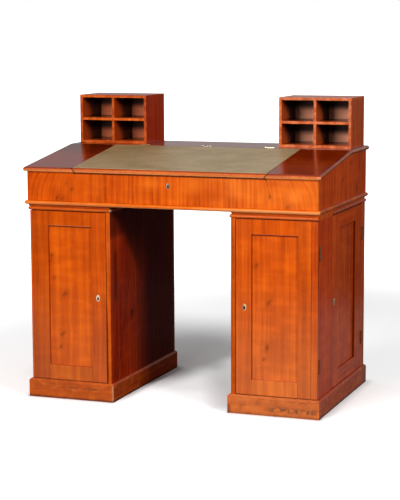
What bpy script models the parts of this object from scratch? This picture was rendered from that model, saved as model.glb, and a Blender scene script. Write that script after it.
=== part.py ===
"""Two-pedestal standing desk with a lifting leather lid and two pigeonhole boxes.

Metres, +Z up. The desk stands on Z = 0 with its front towards -Y, and the origin is under its middle.
"""
import math

import bmesh
import bpy
from mathutils import Matrix, Vector

# Overall sizes
BODY_WIDTH = 1.334         # over the outer sides of the two pedestals
BODY_DEPTH = 0.774         # front of the doors to the back
KNEE_WIDTH = 0.560         # clear width between the pedestals
PEDESTAL_HEIGHT = 0.8735   # floor to the top of a pedestal
CASE_HEIGHT = 0.1665       # top of a pedestal to the writing top at its front edge
SLOPE_HEIGHT = 0.068       # front edge of the writing top to its flat rear part
CREST_RADIUS = 0.250       # soft bend where the slope turns flat

# Pedestal boards
SIDE_T = 0.020
BACK_T = 0.018
FLOOR_T = 0.020
PLINTH_HEIGHT = 0.082
PLINTH_OUT = 0.013         # plinth in front of the body, on three sides
PLINTH_BEVEL = 0.007
PEDESTAL_TOP_T = 0.026
BEAD_HEIGHT = 0.016        # half-round bead along the lower edge of the pedestal top
BEAD_OUT = 0.006
COVE_IN = 0.003            # set-back above the bead
FRONT_BOARD = 0.215        # door face to the side door's opening
REAR_POST = 0.057          # back of the desk to the side door's opening

# Framed doors
DOOR_T = 0.020
DOOR_GAP = 0.002           # round a door, apart from its hinge edge
HINGE_GAP = 0.001
LOCK_STILE = 0.070
HINGE_STILE = 0.087
SIDE_STILE = 0.109         # both stiles of a side door
DOOR_RAIL = 0.0655
PANEL_T = 0.007
PANEL_LIP = 0.003          # wood behind the panel
PANEL_GROOVE = 0.008
PANEL_PLAY = 0.001         # panel edge to the bottom of its groove

# Butt hinges
HINGE_LENGTH = 0.060
HINGE_INSET = 0.138        # door end to the middle of a hinge
LEAF_T = 0.0015
LEAF_MARGIN = 0.004        # wood left beyond a leaf
LEAF_LIFT = 0.0003         # leaf face to the middle of the hinge gap
TAB_BITE = 0.006           # moving leaf into the wood that it swings
KNUCKLE_R = 0.0033
PIN_R = 0.0013
HINGE_PLAY = 0.0004        # between knuckles, and knuckle to wood
PIN_PLAY = 0.00015

# Door locks
LOCK_LENGTH = 0.055
LOCK_HEIGHT = 0.060
LOCK_T = 0.012
LOCK_WALL = 0.0022
BOLT_LENGTH = 0.034
BOLT_HEIGHT = 0.018
BOLT_T = 0.007
BOLT_THROW = 0.010
BOLT_SINK = 0.0005         # end of a drawn-back bolt inside the edge
KEY_BACKSET = 0.039        # door edge to the keyhole
KEY_HEIGHT = 0.465
KEYHOLE_R = 0.0022
KEYHOLE_SLOT = 0.0022      # width of the keyhole's lower slot
KEYHOLE_DROP = 0.0085

# Key plates: an oval of bone, half width and half height
DOOR_PLATE = (0.0085, 0.0148)
LID_PLATE = (0.0075, 0.0130)
LID_KEY_HEIGHT = 0.101     # top of a pedestal to the keyhole of the lid's lock
PLATE_T = 0.0020
PLATE_PROUD = 0.0005

# Upper case
CASE_OVERHANG = 0.003      # case beyond the pedestals, each side
CASE_LEAD = 0.016          # case in front of the doors
CASE_SIDE_T = 0.020
CASE_FLOOR_T = 0.018       # its half-round edge is the waist moulding
WAIST_OUT = 0.011
RAIL_T = 0.026
TOP_T = 0.020
NOSING = 0.014             # half-round edge of the top beyond the case

# Lid
LID_HALF = 0.449           # half width on the upper face
LID_TAPER = 0.70           # undercut of the lid's ends, across for each metre down
LID_GAP = 0.001
LID_CUT = 0.045            # reach of the lid's cut above and below the upper face
LEATHER_T = 0.0014
LEATHER_EDGE = 0.003       # wood left beside the leather
LEATHER_BACK = 0.010       # wood left behind it
LEATHER_FRONT = 0.012      # round of the nosing in front of it
LID_HINGE_LENGTH = 0.046
LID_HINGE_SPREAD = 0.303

# Box lock of the lid
LID_LOCK_LENGTH = 0.070
LID_LOCK_HEIGHT = 0.062
LID_LOCK_T = 0.020
LID_BOLT = 0.004           # square section
LID_BOLT_LENGTH = 0.024
LID_BOLT_THROW = 0.010
STAPLE_T = 0.006
STAPLE_WIDTH = 0.009
STAPLE_DROP = 0.017
STAPLE_BASE = (0.012, 0.008)   # half length and half depth of the base plate
STAPLE_BASE_T = 0.0015
EYE_DEPTH = 0.010          # underside of the lid to the middle of the eye
EYE_HEIGHT = 0.008
EYE_WIDTH = 0.0056
STAPLE_SWING = 0.0035      # room for the staple's arc

# Pigeonhole boxes
BOX_WIDTH = 0.338
BOX_DEPTH = 0.226
BOX_HEIGHT = 0.226
BOX_T = 0.013
BOX_BACK_T = 0.010
BOX_DIVIDER_T = 0.012
BOX_SIDE_INSET = 0.009     # from the outer face of the case
BOX_BACK_INSET = 0.010     # from the back of the desk
BOX_FRONT_MARGIN = 0.066   # flat strip left in front of a box, up to the crest

FIT = 0.0003               # between pieces that touch
PAST = 0.004               # a cutter beyond the face that it leaves by
ROUND_SIDES = 16
OVAL_SIDES = 28
NOSE_SEGMENTS = 5
CREST_STEPS = 6
SHARP_ANGLE = math.radians(40)
SAME_POINT = 0.00001       # points closer than this are one
SAME_PLANE = math.radians(0.2)

# Places worked out from the sizes
BODY_HALF = BODY_WIDTH / 2
KNEE_HALF = KNEE_WIDTH / 2
CASE_HALF = BODY_HALF + CASE_OVERHANG
TOP_HALF = CASE_HALF + NOSING
BACK_Y = (BODY_DEPTH + CASE_LEAD + NOSING) / 2
DOOR_Y = BACK_Y - BODY_DEPTH
CASE_Y = DOOR_Y - CASE_LEAD
NOSE_Y = CASE_Y - NOSING
CREST_Y = BACK_Y - BOX_BACK_INSET - BOX_DEPTH - BOX_FRONT_MARGIN
FRONT_HEIGHT = PEDESTAL_HEIGHT + CASE_HEIGHT
REAR_HEIGHT = FRONT_HEIGHT + SLOPE_HEIGHT
SLOPE = math.atan2(SLOPE_HEIGHT, CREST_Y - NOSE_Y)
PEDESTAL_UNDER = PEDESTAL_HEIGHT - PEDESTAL_TOP_T
DOOR_LOW = PLINTH_HEIGHT + DOOR_GAP
DOOR_HIGH = PEDESTAL_UNDER - DOOR_GAP
CASE_LOW = PEDESTAL_HEIGHT + FIT
CASE_BOARD_LOW = CASE_LOW + CASE_FLOOR_T + FIT
HINGE_STAND = KNUCKLE_R + HINGE_PLAY

FINISHES = {
    "cherry": ((0.48, 0.130, 0.030, 1.0), 0.28, 0.0),
    "cherry_dark": ((0.24, 0.055, 0.016, 1.0), 0.38, 0.0),
    "leather": ((0.36, 0.28, 0.17, 1.0), 0.55, 0.0),
    "brass": ((0.55, 0.42, 0.20, 1.0), 0.40, 1.0),
    "iron": ((0.22, 0.20, 0.18, 1.0), 0.50, 1.0),
    "bone": ((0.82, 0.72, 0.52, 1.0), 0.40, 0.0),
}
FLAT = Matrix()
ALONG_X = Matrix.Rotation(math.radians(90), 4, "Z") @ Matrix.Rotation(math.radians(90), 4, "X")
FACING = Matrix.Rotation(math.radians(90), 4, "X")

for leftover in list(bpy.data.objects):
    bpy.data.objects.remove(leftover, do_unlink=True)
desk = bpy.data.collections.new("standing_desk")
cutters = bpy.data.collections.new("cutters")
for group in (desk, cutters):
    bpy.context.scene.collection.children.link(group)


def finish(item, kind):
    """Give a piece its own Principled material."""
    colour, roughness, metallic = FINISHES[kind]
    surface = bpy.data.materials.new(item.name)
    surface.use_nodes = True
    shader = surface.node_tree.nodes["Principled BSDF"]
    shader.inputs["Base Color"].default_value = colour
    shader.inputs["Roughness"].default_value = roughness
    shader.inputs["Metallic"].default_value = metallic
    item.data.materials.append(surface)


def put(name, mesh, place, kind):
    """Add a piece of the desk, or a cutter where no finish is given."""
    item = bpy.data.objects.new(name, mesh)
    item.matrix_world = place
    if kind:
        desk.objects.link(item)
        finish(item, kind)
    else:
        cutters.objects.link(item)
        item.hide_render = True
        item.display_type = "WIRE"
    return item


def mesh_from(name, shape):
    mesh = bpy.data.meshes.new(name)
    shape.to_mesh(mesh)
    shape.free()
    return mesh


def block(name, corner, opposite, kind=None, place=FLAT):
    """A board between two opposite corners, given in the frame of place."""
    low = Vector(map(min, corner, opposite))
    high = Vector(map(max, corner, opposite))
    shape = bmesh.new()
    bmesh.ops.create_cube(shape, size=1.0)
    bmesh.ops.scale(shape, vec=high - low, verts=shape.verts)
    return put(name, mesh_from(name, shape), place @ Matrix.Translation((low + high) / 2), kind)


def rod(name, radius, length, place, kind=None):
    """A round bar along the Z axis of place, centred on it."""
    shape = bmesh.new()
    ends = {"radius1": radius, "radius2": radius}
    bmesh.ops.create_cone(shape, cap_ends=True, segments=ROUND_SIDES, depth=length, **ends)
    mesh = mesh_from(name, shape)
    mesh.shade_smooth()
    mesh.set_sharp_from_angle(angle=SHARP_ANGLE)
    return put(name, mesh, place, kind)


def oval(name, half_width, half_height, front, back, place, kind=None):
    """An upright oval plate in the XZ plane of place, from front to back along Y."""
    shape = bmesh.new()
    bmesh.ops.create_cone(shape, cap_ends=True, segments=OVAL_SIDES, radius1=1.0, radius2=1.0, depth=1.0)
    bmesh.ops.scale(shape, vec=(half_width, half_height, back - front), verts=shape.verts)
    middle = Matrix.Translation((0, (front + back) / 2, 0))
    return put(name, mesh_from(name, shape), place @ middle @ FACING, kind)


def outline(name, points, thickness, place, kind=None):
    """A flat outline in the XY plane of place, with its thickness centred on it."""
    curve = bpy.data.curves.new(name, "CURVE")
    curve.dimensions = "2D"
    curve.fill_mode = "BOTH"
    curve.extrude = thickness / 2
    spline = curve.splines.new("POLY")
    spline.points.add(len(points) - 1)
    for spot, (across, up) in zip(spline.points, points):
        spot.co = (across, up, 0, 1)
    spline.use_cyclic_u = True
    guide = bpy.data.objects.new(name, curve)
    cutters.objects.link(guide)
    mesh = bpy.data.meshes.new_from_object(guide.evaluated_get(bpy.context.evaluated_depsgraph_get()))
    bpy.data.objects.remove(guide, do_unlink=True)
    shape = bmesh.new()
    shape.from_mesh(mesh)
    bmesh.ops.remove_doubles(shape, verts=shape.verts, dist=SAME_POINT)
    bmesh.ops.dissolve_limit(shape, angle_limit=SAME_PLANE, verts=shape.verts, edges=shape.edges)
    bmesh.ops.recalc_face_normals(shape, faces=shape.faces)
    return put(name, mesh_from(name, shape), place, kind)


def combine(piece, tool, operation="DIFFERENCE"):
    """Cut a piece with a tool, or join the tool to it."""
    step = piece.modifiers.new(tool.name, "BOOLEAN")
    step.operation = operation
    step.object = tool


def round_edges(piece, wanted, radius, segments):
    """Round the edges of a plain piece that the test picks out."""
    shape = bmesh.new()
    shape.from_mesh(piece.data)
    picked = [edge for edge in shape.edges if wanted(edge)]
    bmesh.ops.bevel(shape, geom=picked, offset=radius, segments=segments, profile=0.5, affect="EDGES")
    shape.to_mesh(piece.data)
    shape.free()


def is_level_and_not_rear(edge):
    """True for the level edges of a board, apart from those along its back."""
    one, other = edge.verts
    rear = max(vert.co.y for face in edge.link_faces for vert in face.verts)
    is_level = abs(one.co.z - other.co.z) < FIT
    is_rear = min(one.co.y, other.co.y) > rear - FIT
    return is_level and not is_rear


def pivot(name, axis, members):
    """An empty on a joint's axis that carries the pieces that turn about it."""
    empty = bpy.data.objects.new(name, None)
    cutters.objects.link(empty)
    empty.matrix_world = axis
    for member in members:
        member.parent = empty
        member.matrix_parent_inverse = axis.inverted()


def butt_hinge(name, axis, leaf, length, swung, fixed):
    """A pinned hinge whose fixed leaf is let into one board, its middle knuckle on the other.

    In the frame of axis the pin lies along Z, the leaf runs along X and the fixed board is towards Y.
    """
    far = HINGE_STAND + leaf
    middle = length / 6
    plate = block(name, (0, LEAF_LIFT, -length / 2), (far, LEAF_LIFT + LEAF_T, length / 2), "brass", axis)
    combine(plate, rod(name + "_barrel", KNUCKLE_R, length, axis), "UNION")
    combine(plate, rod(name + "_opening", KNUCKLE_R + HINGE_PLAY, 2 * (middle + HINGE_PLAY), axis))
    combine(plate, rod(name + "_pin", PIN_R, length, axis), "UNION")
    bed = (far + FIT, LEAF_LIFT + LEAF_T + FIT, length / 2 + FIT)
    combine(fixed, block(name + "_bed", (0, -PAST, -bed[2]), bed, None, axis))
    tab_end = (HINGE_STAND + TAB_BITE, -LEAF_LIFT, middle)
    combine(swung, block(name + "_tab", (0, -LEAF_LIFT - LEAF_T, -middle), tab_end, None, axis), "UNION")
    combine(swung, rod(name + "_knuckle", KNUCKLE_R, 2 * middle, axis), "UNION")
    combine(swung, rod(name + "_bore", PIN_R + PIN_PLAY, 2 * middle + PAST, axis))


def cut_keyhole(name, pieces, depth, place):
    """A round hole over a slot, through the pieces behind the origin of place."""
    hole = rod(name + "_round", KEYHOLE_R, 2 * depth, place @ FACING)
    slot_low = (-KEYHOLE_SLOT / 2, -depth, -KEYHOLE_DROP)
    slot = block(name + "_slot", slot_low, (KEYHOLE_SLOT / 2, depth, 0), None, place)
    for piece in pieces:
        combine(piece, hole)
        combine(piece, slot)


def key_plate(name, halves, wood, place):
    """An oval of bone let into the wood, its keyhole at the origin of place."""
    bed = PLATE_T - PLATE_PROUD
    plate = oval(name, halves[0], halves[1], -PLATE_PROUD, bed, place, "bone")
    combine(wood, oval(name + "_bed", halves[0] + FIT, halves[1] + FIT, -PAST, bed + FIT, place))
    return plate


def framed_door(name, place, hand, width, stiles, hinge_board, lock_board, lay_on):
    """A panelled door with two hinges and a lock.

    In the frame of place the hinge edge is at X = 0, the lock edge at X = hand * width, the face at
    Y = 0 and the inside at Y = DOOR_T. A lay-on door covers the edge of the board that it hangs on.
    """
    hinge_stile, lock_stile = stiles
    pane = (hinge_stile, width - lock_stile, DOOR_LOW + DOOR_RAIL, DOOR_HIGH - DOOR_RAIL)
    panel_front = DOOR_T - PANEL_LIP - PANEL_T

    def slab(suffix, u, y, z, kind=None):
        return block(name + suffix, (hand * u[0], y[0], z[0]), (hand * u[1], y[1], z[1]), kind, place)

    def pane_slab(suffix, grow, y, kind=None):
        return slab(suffix, (pane[0] - grow, pane[1] + grow), y, (pane[2] - grow, pane[3] + grow), kind)

    frame = slab("_door_frame", (0, width), (0, DOOR_T), (DOOR_LOW, DOOR_HIGH), "cherry")
    combine(frame, pane_slab("_window", 0, (-PAST, DOOR_T + PAST)))
    combine(frame, pane_slab("_groove", PANEL_GROOVE, (panel_front - FIT, panel_front + PANEL_T + FIT)))
    panel_grow = PANEL_GROOVE - PANEL_PLAY
    panel = pane_slab("_door_panel", panel_grow, (panel_front, panel_front + PANEL_T), "cherry")

    # Lock let into the back of the lock stile, its bolt drawn back
    lock_z = (KEY_HEIGHT - LOCK_HEIGHT / 2, KEY_HEIGHT + LOCK_HEIGHT / 2)
    bolt_z = (KEY_HEIGHT - BOLT_HEIGHT / 2, KEY_HEIGHT + BOLT_HEIGHT / 2)
    bolt_y = (DOOR_T - LOCK_WALL - BOLT_T, DOOR_T - LOCK_WALL)
    run_y = (bolt_y[0] - FIT, bolt_y[1] + FIT)
    run_z = (bolt_z[0] - FIT, bolt_z[1] + FIT)
    lock_start = width - LOCK_LENGTH
    bolt_end = width - BOLT_SINK
    case = slab("_lock_case", (lock_start, width), (DOOR_T - LOCK_T, DOOR_T), lock_z, "iron")
    combine(case, slab("_bolt_run", (bolt_end - BOLT_LENGTH - FIT, width + PAST), run_y, run_z))
    bolt = slab("_lock_bolt", (bolt_end - BOLT_LENGTH, bolt_end), bolt_y, bolt_z, "brass")
    bed_y = (DOOR_T - LOCK_T - FIT, DOOR_T + PAST)
    bed_z = (lock_z[0] - FIT, lock_z[1] + FIT)
    combine(frame, slab("_lock_bed", (lock_start - FIT, width + PAST), bed_y, bed_z))
    strike = (width - BOLT_SINK, width + DOOR_GAP + BOLT_THROW)
    combine(lock_board, slab("_strike", strike, run_y, run_z))

    key_place = place @ Matrix.Translation((hand * (width - KEY_BACKSET), 0, KEY_HEIGHT))
    plate = key_plate(name + "_escutcheon", DOOR_PLATE, frame, key_place)
    cut_keyhole(name + "_keyhole", (frame, plate), DOOR_T - LOCK_T + FIT, key_place)

    # Pin outside the face of the hinge board, in the middle of the hinge gap
    if lay_on:
        pin = Vector((-hand * HINGE_STAND, DOOR_T + HINGE_GAP / 2, 0))
        along, towards = Vector((hand, 0, 0)), Vector((0, 1, 0))
    else:
        pin = Vector((-hand * HINGE_GAP / 2, -HINGE_STAND, 0))
        along, towards = Vector((0, 1, 0)), Vector((-hand, 0, 0))
    turn = Matrix((along, towards, along.cross(towards))).transposed().to_4x4()
    for end, height in (("upper", DOOR_HIGH - HINGE_INSET), ("lower", DOOR_LOW + HINGE_INSET)):
        axis = place @ Matrix.Translation(pin + Vector((0, 0, height))) @ turn
        butt_hinge(f"{name}_hinge_{end}", axis, SIDE_T - LEAF_MARGIN, HINGE_LENGTH, frame, hinge_board)
    pivot(name + "_axis", place @ Matrix.Translation(pin), (frame, panel, case, bolt, plate))


def plinth(name, side):
    """Skirting round the foot of a pedestal, open at the back, with a bevelled upper edge."""
    near, far = side * KNEE_HALF, side * BODY_HALF
    ring = [
        (near - side * PLINTH_OUT, BACK_Y),
        (near - side * PLINTH_OUT, DOOR_Y - PLINTH_OUT),
        (far + side * PLINTH_OUT, DOOR_Y - PLINTH_OUT),
        (far + side * PLINTH_OUT, BACK_Y),
        (far + side * FIT, BACK_Y),
        (far + side * FIT, DOOR_Y - FIT),
        (near - side * FIT, DOOR_Y - FIT),
        (near - side * FIT, BACK_Y),
    ]
    place = Matrix.Translation((0, 0, PLINTH_HEIGHT / 2))
    skirt = outline(name, ring, PLINTH_HEIGHT, place, "cherry")
    outer = (near - side * PLINTH_OUT, far + side * PLINTH_OUT)

    def is_upper_outer(edge):
        one, other = (vert.co for vert in edge.verts)
        is_upper = min(one.z, other.z) > 0
        on_side = any(max(abs(one.x - x), abs(other.x - x)) < FIT / 2 for x in outer)
        on_front = max(one.y, other.y) < DOOR_Y - PLINTH_OUT / 2
        return is_upper and (on_side or on_front)

    round_edges(skirt, is_upper_outer, PLINTH_BEVEL, 1)


def pedestal_top(name, side, bead_start):
    """Board with a half-round bead and a set-back above it; on the outer side the bead may start later."""
    near, far = side * KNEE_HALF, side * BODY_HALF
    low_front = (near - side * BEAD_OUT, DOOR_Y - BEAD_OUT, PEDESTAL_UNDER)
    board = block(name, low_front, (far + side * BEAD_OUT, BACK_Y, PEDESTAL_UNDER + BEAD_HEIGHT), "cherry")
    round_edges(board, is_level_and_not_rear, BEAD_HEIGHT / 2 - FIT, NOSE_SEGMENTS)
    neck_low = (near + side * COVE_IN, DOOR_Y + COVE_IN, PEDESTAL_UNDER + BEAD_HEIGHT / 2)
    neck = block(name + "_neck", neck_low, (far - side * COVE_IN, BACK_Y - FIT, PEDESTAL_HEIGHT))
    combine(board, neck, "UNION")
    if bead_start > 0:
        gone_low = (far + side * FIT, DOOR_Y - BEAD_OUT - PAST, PEDESTAL_UNDER - PAST)
        gone_high = (far + side * (BEAD_OUT + PAST), DOOR_Y + bead_start, PEDESTAL_HEIGHT)
        combine(board, block(name + "_bead_end", gone_low, gone_high))


def pedestal(name, side, bead_start):
    """Cupboard with a lay-on front door and a door flush in its outer side."""
    near, far = side * KNEE_HALF, side * BODY_HALF
    inside_near, inside_far = near + side * (SIDE_T + FIT), far - side * (SIDE_T + FIT)
    rear = BACK_Y - BACK_T - FIT
    high = PEDESTAL_UNDER - FIT
    inner_side = block(name + "_inner_side", (near, DOOR_Y, 0), (near + side * SIDE_T, rear, high), "cherry")
    block(name + "_back", (near, BACK_Y - BACK_T, 0), (far, BACK_Y, high), "cherry_dark")
    floor_low = (inside_near, DOOR_Y, PLINTH_HEIGHT - FLOOR_T)
    block(name + "_floor", floor_low, (inside_far, rear, PLINTH_HEIGHT), "cherry_dark")
    plinth(name + "_plinth", side)
    pedestal_top(name + "_pedestal_top", side, bead_start)

    # Outer side: a front board and a rear post joined under the side door, notched for the front door
    sill = DOOR_LOW - DOOR_GAP
    door_front, door_rear = DOOR_Y + FRONT_BOARD, BACK_Y - REAR_POST
    side_front = DOOR_Y + DOOR_T + HINGE_GAP
    shape = [
        (DOOR_Y, 0),
        (rear, 0),
        (rear, high),
        (door_rear, high),
        (door_rear, sill),
        (door_front, sill),
        (door_front, high),
        (side_front, high),
        (side_front, sill),
        (DOOR_Y, sill),
    ]
    middle = Matrix.Translation((far - side * SIDE_T / 2, 0, 0))
    outer_side = outline(name + "_outer_side", shape, SIDE_T, middle @ ALONG_X, "cherry")

    front_place = Matrix.Translation((far, DOOR_Y, 0))
    front_width = BODY_HALF - KNEE_HALF - SIDE_T - DOOR_GAP
    front_stiles = (HINGE_STILE, LOCK_STILE)
    framed_door(name + "_front", front_place, -side, front_width, front_stiles, outer_side, inner_side, True)

    turn = Matrix.Rotation(side * math.radians(90), 4, "Z")
    side_place = Matrix.Translation((far, door_rear - HINGE_GAP, 0)) @ turn
    side_width = door_rear - door_front - HINGE_GAP - DOOR_GAP
    side_stiles = (SIDE_STILE, SIDE_STILE)
    framed_door(name + "_side", side_place, -side, side_width, side_stiles, outer_side, outer_side, False)


def surface_height(y, drop):
    """Height of the writing top at y, on the face that lies a given depth under its upper face."""
    radius = CREST_RADIUS - drop
    half_turn = math.tan(SLOPE / 2)
    flat_height = REAR_HEIGHT - drop
    bend_end = CREST_Y + drop * half_turn + radius * half_turn
    bend_start = bend_end - radius * math.sin(SLOPE)
    if y <= bend_start:
        return FRONT_HEIGHT + (y - NOSE_Y) * math.tan(SLOPE) - drop / math.cos(SLOPE)
    if y >= bend_end:
        return flat_height
    return flat_height - radius + math.sqrt(radius ** 2 - (y - bend_end) ** 2)


def surface_line(start, end, drop):
    """Points front to back along the writing top, with the bend at the crest in short steps."""
    half_turn = math.tan(SLOPE / 2)
    bend_end = CREST_Y + CREST_RADIUS * half_turn
    bend_start = bend_end - CREST_RADIUS * math.sin(SLOPE)
    steps = [bend_start + (bend_end - bend_start) * step / CREST_STEPS for step in range(CREST_STEPS + 1)]
    stations = [start] + [y for y in steps if start < y < end] + [end]
    return [(y, surface_height(y, drop)) for y in stations]


def top_board(name, kind=None):
    """The whole writing top with its half-round nosing at the front and ends, before the lid is cut out."""
    ring = surface_line(NOSE_Y, BACK_Y, 0) + surface_line(NOSE_Y, BACK_Y, TOP_T)[::-1]
    board = outline(name, ring, 2 * TOP_HALF, ALONG_X, kind)

    def is_nosing(edge):
        one, other = (vert.co for vert in edge.verts)
        is_front = max(one.x, other.x) < NOSE_Y + FIT
        is_rear = min(one.x, other.x) > BACK_Y - FIT
        on_end = abs(one.z - other.z) < FIT
        return (on_end and not is_front and not is_rear) or (is_front and not on_end)

    round_edges(board, is_nosing, TOP_T / 2 - FIT, NOSE_SEGMENTS)
    return board


def lid_block(name, grow, rear):
    """Block with sloping ends that follows the slope of the top, for cutting out the lid."""
    shape = bmesh.new()
    bmesh.ops.create_cube(shape, size=2.0)
    for vert in shape.verts:
        rise = vert.co.z * LID_CUT
        y = rear if vert.co.y > 0 else NOSE_Y - LID_CUT
        across = vert.co.x * (LID_HALF + grow + rise * LID_TAPER)
        vert.co = (across, y, FRONT_HEIGHT + (y - NOSE_Y) * math.tan(SLOPE) + rise)
    return put(name, mesh_from(name, shape), FLAT, None)


def writing_case():
    """Upper case: floor with the waist moulding, front rail, sides, back, top and lid."""
    floor_low = (-CASE_HALF - WAIST_OUT, CASE_Y - WAIST_OUT, CASE_LOW)
    floor_high = (CASE_HALF + WAIST_OUT, BACK_Y, CASE_LOW + CASE_FLOOR_T)
    floor = block("case_floor", floor_low, floor_high, "cherry")
    round_edges(floor, is_level_and_not_rear, CASE_FLOOR_T / 2 - FIT, NOSE_SEGMENTS)

    rail_back = CASE_Y + RAIL_T
    under = TOP_T + FIT
    rail_shape = [(CASE_Y, CASE_BOARD_LOW), (rail_back, CASE_BOARD_LOW)]
    rail_shape += surface_line(CASE_Y, rail_back, under)[::-1]
    rail = outline("case_front_rail", rail_shape, 2 * CASE_HALF, ALONG_X, "cherry")

    back_front = BACK_Y - BACK_T
    back_high = (CASE_HALF, BACK_Y, REAR_HEIGHT - under)
    block("case_back", (-CASE_HALF, back_front, CASE_BOARD_LOW), back_high, "cherry_dark")
    side_front, side_back = rail_back + FIT, back_front - FIT
    side_shape = [(side_front, CASE_BOARD_LOW), (side_back, CASE_BOARD_LOW)]
    side_shape += surface_line(side_front, side_back, under)[::-1]
    for name, side in (("case_left_side", -1), ("case_right_side", 1)):
        middle = Matrix.Translation((side * (CASE_HALF - CASE_SIDE_T / 2), 0, 0))
        outline(name, side_shape, CASE_SIDE_T, middle @ ALONG_X, "cherry")

    top = top_board("writing_top", "cherry")
    combine(top, lid_block("lid_opening", LID_GAP, CREST_Y + HINGE_GAP / 2))
    lid = top_board("lid", "cherry")
    combine(lid, lid_block("lid_blank", 0, CREST_Y - HINGE_GAP / 2), "INTERSECT")

    leather_start, leather_end = NOSE_Y + LEATHER_FRONT, CREST_Y - LEATHER_BACK
    leather_shape = surface_line(leather_start, leather_end, -FIT)
    leather_shape += surface_line(leather_start, leather_end, -FIT - LEATHER_T)[::-1]
    leather = outline("lid_leather", leather_shape, 2 * (LID_HALF - LEATHER_EDGE), ALONG_X, "leather")

    # Pin above the top, in the middle of the gap behind the lid
    pin = Vector((0, CREST_Y, surface_height(CREST_Y, 0) + HINGE_STAND))
    turn = Matrix(((0, 0, 1), (0, 1, 0), (-1, 0, 0))).to_4x4()
    places = (("left", -LID_HINGE_SPREAD), ("middle", 0), ("right", LID_HINGE_SPREAD))
    for where, across in places:
        axis = Matrix.Translation(pin + Vector((across, 0, 0))) @ turn
        butt_hinge("lid_hinge_" + where, axis, TOP_T - LEAF_MARGIN, LID_HINGE_LENGTH, lid, top)
    staple = lid_lock(rail, lid, rail_back)
    pivot("lid_axis", Matrix.Translation(pin), (lid, leather, staple))


def lid_lock(rail, lid, rail_back):
    """Box lock in the front rail: a bolt slides sideways through the eye of a staple under the lid."""
    lock_front = rail_back - LID_LOCK_T
    lock_high = surface_height(lock_front, TOP_T + FIT)
    lock_y = rail_back - LID_LOCK_T / 2
    half = LID_LOCK_LENGTH / 2
    lock_low = lock_high - LID_LOCK_HEIGHT
    case = block("lid_lock_case", (-half, lock_front, lock_low), (half, rail_back, lock_high), "iron")
    bed_low = (-half - FIT, lock_front - FIT, lock_low - FIT)
    combine(rail, block("lid_lock_bed", bed_low, (half + FIT, rail_back + PAST, lock_high + LID_LOCK_T)))

    # Staple square to the lid, its base plate let into the underside
    tilt = Matrix.Translation((0, lock_y, surface_height(lock_y, TOP_T))) @ Matrix.Rotation(SLOPE, 4, "X")
    base_x, base_y = STAPLE_BASE
    staple = block("lid_staple", (-base_x, -base_y, 0), (base_x, base_y, STAPLE_BASE_T), "iron", tilt)
    tongue_low = (-STAPLE_T / 2, -STAPLE_WIDTH / 2, -STAPLE_DROP)
    tongue_high = (STAPLE_T / 2, STAPLE_WIDTH / 2, STAPLE_BASE_T / 2)
    combine(staple, block("staple_tongue", tongue_low, tongue_high, None, tilt), "UNION")
    eye_low = (-STAPLE_T, -EYE_WIDTH / 2, -EYE_DEPTH - EYE_HEIGHT / 2)
    eye_high = (STAPLE_T, EYE_WIDTH / 2, -EYE_DEPTH + EYE_HEIGHT / 2)
    combine(staple, block("staple_eye", eye_low, eye_high, None, tilt))
    bed_high = (base_x + FIT, base_y + FIT, STAPLE_BASE_T + FIT)
    combine(lid, block("staple_bed", (-base_x - FIT, -base_y - FIT, -PAST), bed_high, None, tilt))

    eye = tilt @ Vector((0, 0, -EYE_DEPTH))
    bolt_start = STAPLE_T / 2 + FIT + LID_BOLT / 2
    bolt_half = LID_BOLT / 2
    bolt_low = Vector((bolt_start, eye.y - bolt_half, eye.z - bolt_half))
    bolt_high = Vector((bolt_start + LID_BOLT_LENGTH, eye.y + bolt_half, eye.z + bolt_half))
    block("lid_lock_bolt", bolt_low, bolt_high, "brass")
    play = Vector((FIT, FIT, FIT))
    throw = Vector((LID_BOLT_THROW, 0, 0))
    combine(case, block("lid_bolt_run", bolt_low - play - throw, bolt_high + play))
    slot_x = STAPLE_T / 2 + FIT
    slot_y = STAPLE_WIDTH / 2 + STAPLE_SWING
    slot_low = (-slot_x, lock_y - slot_y, lock_high - STAPLE_DROP - STAPLE_SWING)
    combine(case, block("staple_slot", slot_low, (slot_x, lock_y + slot_y, lock_high + PAST)))

    key_place = Matrix.Translation((0, CASE_Y, PEDESTAL_HEIGHT + LID_KEY_HEIGHT))
    plate = key_plate("lid_escutcheon", LID_PLATE, rail, key_place)
    cut_keyhole("lid_keyhole", (rail, plate), RAIL_T - LID_LOCK_T + FIT, key_place)
    return staple


def pigeonhole_box(name, side):
    """Open-fronted box with a shelf and an upright that cross in it."""
    far = side * (CASE_HALF - BOX_SIDE_INSET)
    near = far - side * BOX_WIDTH
    back = BACK_Y - BOX_BACK_INSET
    front = back - BOX_DEPTH
    low = REAR_HEIGHT + FIT
    high = low + BOX_HEIGHT
    case = block(name + "_case", (near, front, low), (far, back, high), "cherry")
    room_low = (near + side * BOX_T, front - PAST, low + BOX_T)
    room_high = (far - side * BOX_T, back - BOX_BACK_T, high - BOX_T)
    combine(case, block(name + "_room", room_low, room_high))

    middle_x, middle_z = (near + far) / 2, (low + high) / 2
    half = BOX_DIVIDER_T / 2
    rear = back - BOX_BACK_T - FIT
    shelf_low = (room_low[0] + side * FIT, front, middle_z - half)
    shelf_high = (room_high[0] - side * FIT, rear, middle_z + half)
    divider = block(name + "_divider", shelf_low, shelf_high, "cherry")
    upright_low = (middle_x - half, front + FIT, room_low[2] + FIT)
    upright = block(name + "_upright", upright_low, (middle_x + half, rear - FIT, room_high[2] - FIT))
    combine(divider, upright, "UNION")


pedestal("left", -1, 0)
pedestal("right", 1, FRONT_BOARD)
writing_case()
pigeonhole_box("left_box", -1)
pigeonhole_box("right_box", 1)
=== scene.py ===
"""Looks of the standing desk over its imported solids: polished cherry, leather, brass, iron and bone."""
import math

import bmesh
import bpy
from mathutils import Matrix, Vector


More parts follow.
